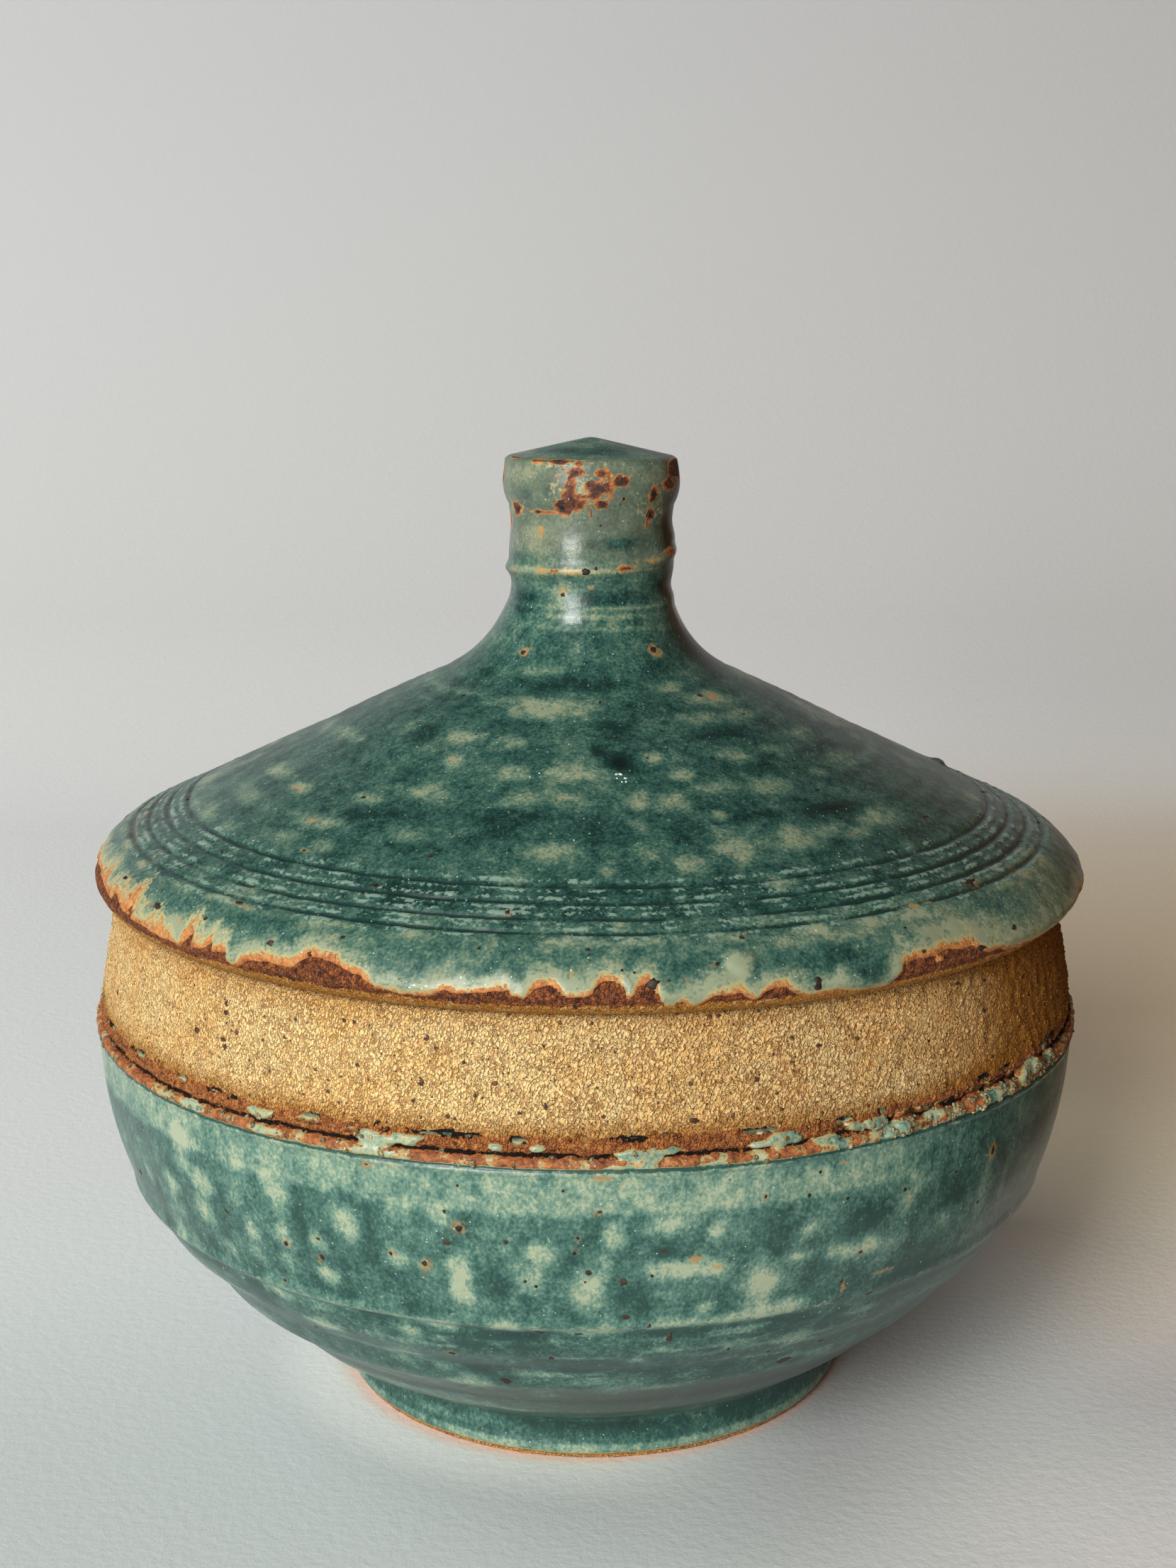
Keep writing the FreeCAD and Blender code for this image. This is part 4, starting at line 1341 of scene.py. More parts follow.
def scatter_tree(name: str, sides: int) -> bpy.types.NodeTree:
    """Makes a Geometry Nodes tree that sets small flattened grains on a surface.

    Args:
        name: The tree's name.
        sides: Subdivisions of a grain, 1 for twenty faces.

    Returns:
        The tree. Its inputs are the density on each square metre, the field that thins it,
        the sizes, the flatness, the seed and the finish.
    """
    tree = bpy.data.node_groups.new(name, "GeometryNodeTree")
    sockets = (
        ("Surface", "NodeSocketGeometry"), ("Density", NUMBER), ("Field", "NodeSocketString"),
        ("Smallest", NUMBER), ("Largest", NUMBER), ("Flatness", NUMBER), ("Seed", "NodeSocketInt"),
        ("Finish", "NodeSocketMaterial"),
    )
    for key, kind in sockets:
        tree.interface.new_socket(key, in_out="INPUT", socket_type=kind)
    tree.interface.new_socket("Grains", in_out="OUTPUT", socket_type="NodeSocketGeometry")
    w = Wiring(tree)
    given = tree.nodes.new("NodeGroupInput").outputs

    def draw(low: object, high: object, seed: object) -> bpy.types.NodeSocket:
        """A number drawn for each grain."""
        inputs = {"Min": low, "Max": high, "Seed": seed}
        return w.add("FunctionNodeRandomValue", inputs, data_type="FLOAT").outputs[1]

    where = w.add("GeometryNodeInputNamedAttribute", {"Name": given["Field"]}, data_type="FLOAT")
    density = w.times(given["Density"], where.outputs["Attribute"])
    spread = {"Mesh": given["Surface"], "Density": density, "Seed": given["Seed"]}
    points = w.add("GeometryNodeDistributePointsOnFaces", spread)
    grain = w.add("GeometryNodeMeshIcoSphere", {"Radius": 1.0, "Subdivisions": sides})
    flat = w.add("ShaderNodeCombineXYZ", {0: 1.0, 1: 1.0, 2: given["Flatness"]})
    squashed = w.add("GeometryNodeTransform", {"Geometry": grain, "Scale": flat})
    spin = draw(0.0, 6.283, 3)
    size = draw(given["Smallest"], given["Largest"], given["Seed"])
    scale = w.add("ShaderNodeCombineXYZ", {0: size, 1: w.times(size, draw(0.6, 1.5, 9)), 2: size})
    around = w.add("FunctionNodeEulerToRotation", {"Euler": w.add("ShaderNodeCombineXYZ", {2: spin})})
    spun = {0: points.outputs["Rotation"], 1: around}
    turned = w.add("FunctionNodeRotateRotation", spun, rotation_space="LOCAL")
    placed = w.add("GeometryNodeInstanceOnPoints", {
        "Points": points.outputs["Points"], "Instance": squashed, "Rotation": turned, "Scale": scale,
    })
    real = w.add("GeometryNodeRealizeInstances", {"Geometry": placed})
    smooth = w.add("GeometryNodeSetShadeSmooth", {"Geometry": real})
    finished = w.add("GeometryNodeSetMaterial", {"Geometry": smooth, "Material": given["Finish"]})
    w.add("NodeGroupOutput", {0: finished})
    return tree


def grow(
    surface: bpy.types.Object, tree: bpy.types.NodeTree, name: str, **inputs: object
) -> bpy.types.Object:
    """Runs a Geometry Nodes tree on a surface and keeps its result as a plain mesh.

    Args:
        surface: What it grows on, which stays as it was.
        tree: The tree.
        name: Name of the new object.
        **inputs: Values for the tree's named inputs.

    Returns:
        The new object.
    """
    modifier = surface.modifiers.new(name, "NODES")
    modifier.node_group = tree
    for item in tree.interface.items_tree:
        if item.in_out == "INPUT" and item.name in inputs:
            modifier[item.identifier] = inputs[item.name]
    evaluated = surface.evaluated_get(bpy.context.evaluated_depsgraph_get())
    mesh = bpy.data.meshes.new_from_object(evaluated)
    surface.modifiers.remove(modifier)
    mesh.name = name
    return show(name, mesh)


def wear(piece: bpy.types.Object, finish: Finish) -> bpy.types.Object:
    """Gives a piece one material.

    Args:
        piece: The piece.
        finish: The material.

    Returns:
        The piece.
    """
    piece.data.materials.clear()
    piece.data.materials.append(finish.material)
    return piece


def move_points(piece: bpy.types.Object, move: Callable[[np.ndarray], np.ndarray]) -> None:
    """Moves the points of a piece.

    Args:
        piece: The piece.
        move: Gives the new places for rows of x, y and z in metres.
    """
    places = np.empty(len(piece.data.vertices) * 3)
    piece.data.vertices.foreach_get("co", places)
    piece.data.vertices.foreach_set("co", move(places.reshape(-1, 3)).ravel())
    piece.data.update()


def hold_inside(places: np.ndarray) -> np.ndarray:
    """Places in metres, held inside the frame's box."""
    return np.clip(places, np.array([-REACH, -REACH, 0.0]) * MM, np.array([REACH, REACH, TOP]) * MM)


def hand_over(piece: bpy.types.Object, body: Body, slot: str, *nodes: str) -> bpy.types.Object:
    """Holds a piece inside the frame's box, sets it on its body and hides the nodes that it stands for.

    Args:
        piece: The piece.
        body: The body that it rides on.
        slot: Not used.
        *nodes: The nodes that it stands for.

    Returns:
        The piece.
    """
    move_points(piece, hold_inside)
    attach(piece, body.value)
    if nodes:
        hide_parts(*nodes)
    LOG.info("%s: %d faces, rides on %s", piece.name, len(piece.data.polygons), body.value)
    return piece


class SpotAt(NamedTuple):
    """A spot at a point of a surface: half width and half height in millimetres, and strength."""

    at: int
    wide: float
    tall: float
    strength: float


@dataclass
class IronAndGlintDomes:
    """Iron spots and painted glints set into a surface at known places, as shallow domes that follow it."""

    skin: Skin
    rise: np.ndarray
    sides: int = 14
    sunk: float = 0.02  # how deep the middle of a spot's base lies
    rim_drop: float = 0.09  # how deep its rim lies
    neighbours: int = 24  # points that the slope of the surface is read from

    def __post_init__(self) -> None:
        """Reads the surface that the spots are set into."""
        self.places = self.skin.points(self.rise)
        self.outward = self.skin.outward()

    def strewn(self, seed: Draw, number: int, low: float, high: float) -> list[SpotAt]:
        """Strews spots over the sides that the camera doesn't see.

        Args:
            seed: Fixes where they fall.
            number: How many.
            low: Height of the lowest, in millimetres.
            high: Height of the highest.

        Returns:
            The spots.
        """
        rng = np.random.default_rng(seed)
        away = (np.abs(self.skin.angle) > 1.35) & (self.skin.out_radius > 0.2)
        free = np.flatnonzero(away & (self.skin.height > low) & (self.skin.height < high))
        made = []
        for at in rng.choice(free, number):
            wide, tall = rng.uniform(0.35, 1.0) * rng.uniform(0.8, 1.2, 2)
            made.append(SpotAt(int(at), wide, tall, rng.uniform(0.6, 1.0)))
        return made

    def settle(self, spot: Spot) -> SpotAt:
        """Finds where a mark in the frame lies on the surface.

        Args:
            spot: The mark.

        Returns:
            The spot at its point, with its size in millimetres.
        """
        at = self.skin.find(spot.across, spot.down)
        round_it, up_it = self.skin.pixels_a_mm(at)
        wide = 1.2 * spot.wide / max(round_it, 2.0)
        return SpotAt(at, wide, 1.2 * spot.tall / max(up_it, 2.0), spot.strength)

    def dome(self, spot: SpotAt, stand: float, lumps: np.ndarray) -> tuple[list[np.ndarray], list[float]]:
        """Places the points of one spot: its middle, a ring half way out and its rim.

        Args:
            spot: The spot.
            stand: How far its middle stands out, in millimetres.
            lumps: How far out its outline goes at each side, about 1.

        Returns:
            The points, and how strongly each has the edge's colour.
        """
        here = self.places[spot.at]
        near = np.argsort(np.sum((self.places - here) ** 2, 1))[: self.neighbours]
        out = np.linalg.svd(self.places[near] - self.places[near].mean(0))[2][2]
        out = out * np.sign(out @ self.outward[spot.at])
        side = np.cross(np.array([0.0, 0.0, 1.0]), out)
        side /= np.linalg.norm(side)
        up = np.cross(out, side)
        origin = here - out * self.sunk
        points = [origin + out * (stand + 0.04)]
        soft = [1.0 - spot.strength]
        for share, level, strong in ((0.6, 0.8 * stand, 1.0), (1.0, -self.rim_drop, 0.6)):
            for number, lump in enumerate(lumps):
                turn = 2 * math.pi * number / self.sides
                reach = share * (1.0 + (lump - 1.0) * share)
                way = side * spot.wide * math.cos(turn) + up * spot.tall * math.sin(turn)
                points.append(origin + reach * way + out * level)
                soft.append(1.0 - spot.strength * strong)
        return points, soft

    def faces(self, first: int) -> list[tuple[int, ...]]:
        """Makes the faces of one spot.

        Args:
            first: The number of its middle point.

        Returns:
            Faces as numbers of points, facing out and closed below.
        """
        ring = [first + 1 + number for number in range(self.sides)]
        rim = [number + self.sides for number in ring]
        made: list[tuple[int, ...]] = []
        for number in range(self.sides):
            after = (number + 1) % self.sides
            made.append((first, ring[number], ring[after]))
            made.append((ring[number], rim[number], rim[after], ring[after]))
        return made + [tuple(reversed(rim))]

    def build(
        self, name: str, spots: tuple[Spot, ...], stand: float = 0.05, more: Iterable[SpotAt] = ()
    ) -> bpy.types.Object:
        """Makes the spots as one mesh.

        Args:
            name: Name of the object.
            spots: Where they lie, in the frame.
            stand: How far their middles stand out, in millimetres.
            more: Further spots, at points of the surface.

        Returns:
            The object.
        """
        points: list[np.ndarray] = []
        soft: list[float] = []
        faces: list[tuple[int, ...]] = []
        rng = np.random.default_rng(Draw.SPOT_SHAPES)
        for spot in [self.settle(spot) for spot in spots] + list(more):
            faces += self.faces(len(points))
            placed, softness = self.dome(spot, stand, 1.0 + 0.16 * rng.standard_normal(self.sides))
            points += placed
            soft += softness
        mesh = bpy.data.meshes.new(name)
        mesh.from_pydata((np.array(points) * MM).tolist(), [], faces)
        keep_number(mesh, "soft", np.clip(np.array(soft, np.float32), 0.0, 1.0))
        mesh.shade_smooth()
        return show(name, mesh)


def halos(spots: tuple[Spot, ...], size: float, strength: float, least: float = 0.0) -> tuple[Spot, ...]:
    """Softer and larger marks round the spots that are stronger than the least."""
    return tuple(
        Spot(spot.across, spot.down, spot.wide * size, spot.tall * size, strength)
        for spot in spots
        if spot.strength > least
    )


# The pot ------------------------------------------------------------------------------------

class Corner(NamedTuple):
    """Where one arc of an outline meets the next, in millimetres."""

    radius: float
    height: float


@dataclass
class BowlCoat:
    """Masks that the bowl's coat is shaped and coloured with, a number for each point."""

    outside: np.ndarray
    line: np.ndarray
    strip: np.ndarray
    crumbly: np.ndarray
    patch: np.ndarray
    hold: np.ndarray
    gouge: np.ndarray
    score: np.ndarray
    thrown: np.ndarray


@dataclass
class Pot:
    """The bowl of the pot: foot ring, thrown wall, glaze outside and in. Sizes in millimetres."""

    stance: Stance = field(default_factory=lambda: Stance(shift=-0.4, foot_shift=1.2))
    foot_stance: Stance = field(default_factory=lambda: Stance(shift=0.8))
    foot_radius: float = 43.8
    foot_top: float = 43.3
    foot_inside: float = 35.8
    foot_height: float = 6.5
    waist: Corner = Corner(46.2, 8.7)
    waist_sweep: float = 3.2
    hip: Corner = Corner(78.2, 39.4)
    lower_sweep: float = 114.0
    belly: Corner = Corner(83.75, 65.5)
    upper_sweep: float = 68.8
    rim_radius: float = 80.9
    rim_height: float = 88.4
    mouth: float = 74.2
    coat: float = 0.7
    glaze_line: float = 66.7
    upper_score: float = 68.7
    toast_line: float = 71.1
    throwing_rings: tuple[tuple[float, float, float], ...] = (
        (41.0, 1.0, 0.42), (38.7, 0.9, -0.38), (34.0, 1.8, 0.25), (29.0, 1.5, -0.25),
        (24.5, 1.6, 0.34), (19.0, 1.4, -0.2), (14.5, 1.5, 0.2),
    )
    count: int = 768

    def outer_wall(
        self, form: Turning, coat: float, steps: tuple[float, float, float], count: int
    ) -> Turning:
        """Walks the wall's outside up to the belly.

        Args:
            form: The form so far, at the top of the foot.
            coat: How far outside the clay to walk.
            steps: Ring spacing at the waist, on the lower wall and on the upper wall.
            count: Points in each ring.

        Returns:
            The form.
        """
        walk = (
            (self.waist, self.waist_sweep, Bend.HOLLOWS),
            (self.hip, self.lower_sweep, Bend.SWELLS),
            (self.belly, self.upper_sweep, Bend.SWELLS),
        )
        for (corner, sweep, bend), step in zip(walk, steps):
            form.arc(corner.radius + coat, corner.height, sweep, bend, step, count)
        return form

    def throwing(self, skin: Skin) -> np.ndarray:
        """Reads how the thrown wall swells and dips: rings below, slow flutes above.

        Args:
            skin: The form's points.

        Returns:
            How far each point stands out, in millimetres.
        """
        points = skin.points()
        height = skin.height
        uneven = 1.0 + 0.6 * lattice_noise(points * 0.03, Pattern.RING_STRENGTH)
        rings = skin.even(0.0)
        for middle, width, lift in self.throwing_rings:
            wander = middle + 0.5 * lattice_noise(points * 0.016, Pattern.RING_WANDER)
            rings += lift * bell(height, wander, width)
        flutes = 0.42 * lattice_noise(stretched(points, 0.07, 0.07, 0.022), Pattern.FLUTES)
        swell = 0.22 * lattice_noise(points * 0.03, Pattern.SWELL)
        flutes = flutes * window(height, 36.0, 46.0, 58.0, 66.0)
        swell = swell * window(height, 8.0, 14.0, 60.0, 66.0)
        return rings * uneven * ease(10.0, 13.0, height) + flutes + swell

    def level(self, skin: Skin) -> np.ndarray:
        """Each point's height above lines that were scored a little out of level."""
        return skin.height - 0.35 * lattice_noise(stretched(skin.points(), 0.02, 0.02, 0.001), Pattern.TILT)

    def build_foot(self) -> None:
        """The foot ring that the pot stands on."""
        form = Turning(self.foot_stance, closed=True)
        form.start(self.foot_inside + 0.6, 0.0, 480).line(43.2, 0.0, 1.6).line(43.62, 0.12, 0.3)
        form.line(self.foot_radius, 0.6, 0.3).line(43.7, 2.0, 0.35)
        form.line(self.foot_top - 0.3, self.foot_height, 1.5)
        form.line(self.foot_inside, self.foot_height, 1.9).line(self.foot_inside, 0.6, 1.5)
        skin = form.skin()
        points = skin.points()
        rise = 0.05 * layered_noise(points, 1.4, Pattern.FOOT_GRAIN, 2) * (skin.height > 0.05)
        toast = 0.25 + 0.2 * layered_noise(points, 6.0, Pattern.FOOT_TOAST)
        fields = {
            "toast": toast + 0.5 * ease(1.2, 2.4, skin.height),
            "warm": skin.even(0.75),
            "burnt": skin.even(0.0),
        }
        piece = wear(form.piece("foot_ring_turned", rise, fields), Finish.CLAY)
        hand_over(piece, Body.POT, "bare_clay", "foot_ring")

    def walk_wall(self) -> Turning:
        """Walks the wall from the middle of its underside round to the middle of its floor.

        Returns:
            The form.
        """
        fine, plain = self.count, self.count // 4
        form = Turning(self.stance)
        form.start(0.0, self.foot_height, 1).line(10.0, self.foot_height, 5.0, plain)
        form.line(self.foot_top - 0.6, self.foot_height, 8.0)
        self.outer_wall(form, -0.3, (1.5, 3.0, 2.0), plain)
        form.line(84.0, 66.0, 0.5, fine // 2).line(84.5, 66.4, 0.5, fine)
        form.arc(self.rim_radius, 87.7, 300.0, Bend.SWELLS, 0.34, fine)
        form.line(self.rim_radius - 0.7, self.rim_height, 0.4, fine // 2)
        form.line(self.mouth + 0.7, self.rim_height, 2.0)
        form.line(self.mouth, 87.7, 1.0, plain).line(74.9, 84.4, 1.5)
        form.arc(77.55, 65.5, 90.0, Bend.HOLLOWS, 2.5).arc(72.0, 39.4, 66.0, Bend.HOLLOWS, 2.5)
        return form.arc(34.0, 14.0, 70.0, Bend.HOLLOWS, 2.5).line(10.0, 14.0, 6.0).line(0.0, 14.0, 10.0, 1)

    def build_wall(self) -> tuple[bpy.types.Object, IronAndGlintDomes]:
        """Builds the thrown wall, whose bare band shows above the glaze.

        Returns:
            The wall, which grit and crumbs grow on, and what sets iron spots into it.
        """
        form = self.walk_wall()
        skin = form.skin()
        points = skin.points()
        line = self.level(skin)
        outside = (skin.out_radius > 0.3) & (skin.radius > 78.0)
        band = window(skin.height, 66.2, 67.4, 87.0, 88.4) * outside
        far = skin.right(0.3, 0.6)

        torn = 0.45 * layered_noise(points, 1.8, Pattern.TORN)
        score = self.upper_score + 0.75 * skin.right(0.35, 0.6)
        depth = np.clip(1.05 + 0.6 * lattice_noise(points * 0.4, Pattern.TEAR_DEPTH), 0, 1.25)
        upper = bell(line + 0.4 * torn, score, 0.36 + 0.30 * far) * depth
        lower = bell(line, self.glaze_line, 0.3)
        third = bell(line + torn, self.toast_line, 0.5)
        third = third * ease(-0.2, 0.5, lattice_noise(points * 0.3, Pattern.THIRD_LINE))
        grit = layered_noise(stretched(points, 1.0, 1.0, 0.6), 1.1, Pattern.BAND_GRIT, 2)
        grit = grit * (0.06 + 0.22 * skin.right(-0.1, 0.6))
        rough = 0.34 * layered_noise(points, 1.4, Pattern.BAND_ROUGH, 2) * ease(71.8, 70.4, line)
        drag = 0.06 * layered_noise(stretched(points, 0.3, 0.3, 1.6), 3.0, Pattern.BAND_DRAG, 2)
        rise = band * (grit + rough + drag - 0.6 * upper - 0.5 * lower - 0.4 * third - 0.06)

        edge = 0.55 * layered_noise(points, 5.0, Pattern.TOAST_EDGE)
        edge = line + edge + 0.45 * layered_noise(points, 1.6, Pattern.TOAST_FRAY)
        brown = ease(self.toast_line + 0.75, self.toast_line - 0.35, edge)
        # Painted shadow: shade darkens the band's top with the toasted tone under the lid's overhang. sides
        # warms the band towards its edges, most of all on the right, as painted warm bounce in the shade.
        shade = ease(self.rim_height - 3.6, self.rim_height - 1.0, edge)
        sides = 0.08 * ease(0.4, 0.8, np.abs(skin.angle)) + 1.3 * skin.right(0.6, 1.1)
        warm = 0.75 * ease(74.6, 71.4, edge) + 0.3 * shade + 0.1 + sides
        burnt = (0.95 + 0.25 * far) * np.clip(upper, 0, 1) + 0.95 * np.clip(third, 0, 1)
        spots = np.clip(1.3 * skin.spread(BAND_IRON, 0.1, 0.5), 0, 1)
        tears = bell(line + 0.4 * torn, score, 0.6) + bell(line + torn, self.toast_line, 0.6)
        gaps = lattice_noise(points * 0.25, Pattern.TORN_GAPS) + 0.5 * skin.right(0.2, 0.5)
        fields = {
            "toast": np.where(outside, brown, 0.1),
            "fire": skin.even(0.6),
            "warm": np.where(outside, warm, 0.4),
            "burnt": np.where(outside, burnt, 0.0),
            # rough: more relief towards the right, and painted shade in the crevices there.
            "rough": skin.right(-0.15, 0.5),
            "grit": band * ease(71.2, 72.2, line) * (1 - spots),
            "crumbs": outside * np.clip(tears, 0, 1) * ease(-0.5, 0.4, gaps),
        }
        piece = wear(form.piece("bowl_thrown", rise, fields), Finish.CLAY)
        return hand_over(piece, Body.POT, "bare_clay", "bowl"), IronAndGlintDomes(skin, rise)

    def walk_coat(self) -> Turning:
        """Walks the coat from the foot up its outside, over its top and down its inside.

        Returns:
            The form.
        """
        fine, middling, plain = self.count, self.count // 2, self.count // 4
        form = Turning(self.stance, closed=True)
        form.start(42.2, 0.95, middling).line(self.foot_radius + 0.3, 0.95, 0.8)
        form.line(self.foot_radius + 0.6, 1.5, 0.3).line(self.foot_top + 0.7, self.foot_height, 0.5)
        self.outer_wall(form, self.coat, (0.5, 0.85, 0.85), fine)
        form.line(84.9, 66.3, 0.3).line(84.6, 71.2, 0.33)
        form.line(83.4, 71.3, 0.6, middling).line(83.0, 66.0, 2.5, plain)
        form.arc(77.2, 39.4, 68.0, Bend.HOLLOWS, 5.0).arc(45.0, 9.0, 113.0, Bend.HOLLOWS, 5.0)
        return form.line(42.2, 6.5, 1.5).line(42.2, 3.0, 2.0, middling)

    def read_coat(self, skin: Skin) -> BowlCoat:
        """Works out where the coat holds, tears and crumbles.

        Args:
            skin: The coat's points.

        Returns:
            The masks.
        """
        points = skin.points()
        line = self.level(skin)
        top = np.max(skin.along[skin.height > 71.1]) + 0.2
        outside = (skin.out_radius > -0.2) & (skin.along > 1.0) & (skin.along < top)
        low, high = skin.along[skin.height > 66.2].min(), skin.along[skin.height > 71.0].min()
        flakes = skin.spread(BAND_FLAKES, 0.55, 0.35)
        flakes = flakes + skin.strew(Draw.FLAKES, 44, low + 0.9, high - 1.2, (1.5, 4.5), (0.4, 1.0), 0.6)
        crumbly = window(skin.angle, 0.42, 0.62, 1.05, 1.25)
        crumbly = crumbly + 0.8 * window(skin.angle, -2.9, -2.6, -2.2, -1.9)
        strip = ease(self.glaze_line + 0.15, self.glaze_line + 0.35, line)
        edge = 68.35 + 0.6 * crumbly + 0.35 * layered_noise(points, 2.0, Pattern.STRIP_TOP) - line
        patch = ease(0.45, 0.8, flakes + 0.25 * layered_noise(points, 1.2, Pattern.FLAKE_EDGE, 2))
        patch = patch * ease(71.0, 70.5, line)
        hold = np.maximum(ease(-0.4, 0.2, edge), patch * 0.95)
        gouge = bell(line, self.upper_score, 0.3) * (1 - 0.8 * patch)
        score = bell(line, self.glaze_line, 0.26)
        return BowlCoat(outside, line, strip, crumbly, patch, hold, gouge, score, self.throwing(skin))

    def shape_coat(self, skin: Skin, coat: BowlCoat) -> np.ndarray:
        """Works out the coat's relief.

        Args:
            skin: The coat's points.
            coat: Its masks.

        Returns:
            How far each point stands out, in millimetres.
        """
        points = skin.points()
        lumpy = 0.12 * np.maximum(coat.patch, ease(64.0, 66.5, skin.height))
        lumpy = lumpy + 0.55 * coat.strip * (0.45 + coat.crumbly)
        lumpy = lumpy * layered_noise(points, 1.5, Pattern.COAT_LUMPS, 2)
        rise = coat.thrown + 0.06 * layered_noise(points, 9.0, Pattern.BOWL_SKIN, 2) + lumpy
        rise = rise - 0.5 * coat.score - 0.9 * coat.gouge * coat.strip
        foot_edge = 0.22 * bell(skin.height, 2.2, 0.9) * (skin.radius < 50)
        return np.where(coat.outside, rise - (1.0 - coat.hold) * 1.5 + foot_edge, 0.0)

    def colour_coat(self, skin: Skin, coat: BowlCoat) -> dict[str, np.ndarray]:
        """Works out the numbers that the glaze is coloured with.

        Args:
            skin: The coat's points.
            coat: Its masks.

        Returns:
            The numbers by name.
        """
        points = skin.points()
        height = skin.height
        under = 0.8 * layered_noise(points, 7.0, Pattern.UNDER_BAND)
        pale = ease(59.2, 60.4, height + under) * ease(67.0, 66.4, coat.line)
        pale = pale * (1 - 0.75 * skin.right(0.4, 0.75))
        streaks = ease(0.12, 0.5, layered_noise(stretched(points, 0.28, 0.28, 1.9), 3.0, Pattern.STREAKS))
        drawn = layered_noise(stretched(points, 0.6, 0.6, 0.07), 1.6, Pattern.DRAWN_DOWN, 2)

        clouds = 0.22 * skin.right(0.0, 0.4) * drawn * ease(42.0, 46.0, height)
        clouds = clouds + 0.12 * window(height, 42.0, 47.0, 57.0, 61.0)
        clouds = clouds + 0.8 * streaks * window(height, 10.0, 14.0, 40.0, 41.5)
        clouds = clouds + 0.5 * np.clip(coat.thrown, 0.0, 0.6) + 1.10 * skin.spread(BOWL_CLOUDS)
        clouds = clouds + skin.strew(Draw.BOWL_CLOUDS, 120, 22.0, 92.0, (2.0, 5.0), (1.6, 5.0))
        # Painted shade: the clouds are dimmed towards the right, and low on the right most of all.
        clouds = clouds * (1 - 0.45 * skin.right(0.4, 0.8)) - 0.2 * skin.right(0.15, 0.6)
        clouds = clouds * (1 - 0.35 * ease(28.0, 21.0, height) * skin.right(-0.3, 0.1))
        clouds = clouds + 0.72 * pale * (1.0 + 0.3 * layered_noise(points, 4.0, Pattern.PALE_BAND))
        clouds = clouds + 0.9 * np.maximum(coat.patch, coat.strip)

        # Low on the bowl and at the waist the glaze is darker: its own pooling, and painted shade under the
        # bowl, more so to the right.
        pools = window(height, 11.0, 13.5, 19.0, 26.0) * (0.65 + 0.2 * skin.right(-0.2, 0.2))
        pools = pools + 0.9 * np.clip(-coat.thrown, 0.0, 0.6) + skin.spread(BOWL_POOLS)
        pools = pools + skin.strew(Draw.BOWL_POOLS, 50, 12.0, 92.0, (2.0, 6.0), (2.0, 6.0))
        pools = np.minimum(pools, 0.85 + 1.2 * ease(11.0, 15.0, height)) * (1 - 0.8 * pale)
        pools = pools + 0.1 * window(height, 3.0, 4.6, 7.5, 9.5) + 0.4 * bell(height, 38.8, 1.0)
        pools = pools + 0.38 * ease(39.5, 37.5, height + under)

        dribble = layered_noise(stretched(points, 1.0, 1.0, 0.35), 1.6, Pattern.DRIBBLE, 2)
        broken = 0.84 + 0.16 * ease(0.4, 0.1, skin.angle) * ease(-2.9, -2.2, skin.angle)
        broken = broken + 0.85 * dribble - 0.22 * coat.crumbly
        broken = broken + 0.1 * window(skin.angle, -2.7, -1.9, -0.8, -0.5)
        broken = coat.strip * np.clip(broken, 0.0, 1.1) * (1 - 0.7 * coat.patch)
        ochre = skin.spread(BOWL_OCHRES + halos(BOWL_IRON, 2.2, 0.5, 0.8), 0.45, 0.5)
        ochre = ochre + skin.strew(Draw.BOWL_OCHRES, 16, 20.0, 90.0, (0.8, 1.6), (0.8, 1.6))
        crest = np.clip(0.4 + 1.2 * layered_noise(points, 6.0, Pattern.WAIST_CREST, 2), 0, 1.2)
        crumbs = np.clip(coat.strip * coat.hold * (0.15 + coat.crumbly), 0, 1)
        return {
            "cloud": clouds + 0.85 * ease(3.2, 2.4, height) * (skin.radius < 50),
            "pool": pools,
            "ochre": ochre + 0.35 * pale * ease(0.2, 0.8, dribble) * ease(64.5, 66.3, coat.line),
            "thin": np.where(coat.outside, np.maximum(broken, ease(0.85, 0.45, coat.hold)), 0.0)
            + 0.8 * ease(1.5, 1.1, height),
            "rust": skin.even(0.0),
            "fire": skin.even(0.3),
            "shine": skin.even(0.35),
            "crest": bell(height - 0.3 * under, 40.4, 0.55) * crest * (skin.out_radius > 0),
            "groove": (1.3 * coat.score + 0.9 * coat.gouge * coat.strip) * (height > 60),
            "crumbs": coat.outside * crumbs * ease(69.5, 68.9, coat.line - 0.9 * coat.patch),
        }

    def build_glaze(self) -> tuple[bpy.types.Object, IronAndGlintDomes]:
        """Builds the teal coat from the foot to the scored lines, with flakes of it on the band.

        Returns:
            The coat, which crumbs grow on, and what sets iron spots into it.
        """
        form = self.walk_coat()
        skin = form.skin()
        coat = self.read_coat(skin)
        rise = self.shape_coat(skin, coat)
        piece = form.piece("bowl_teal_coat", rise, self.colour_coat(skin, coat))
        hand_over(wear(piece, Finish.BOWL_TEAL), Body.POT, "teal_glaze", "bowl_glaze")
        return piece, IronAndGlintDomes(skin, rise)

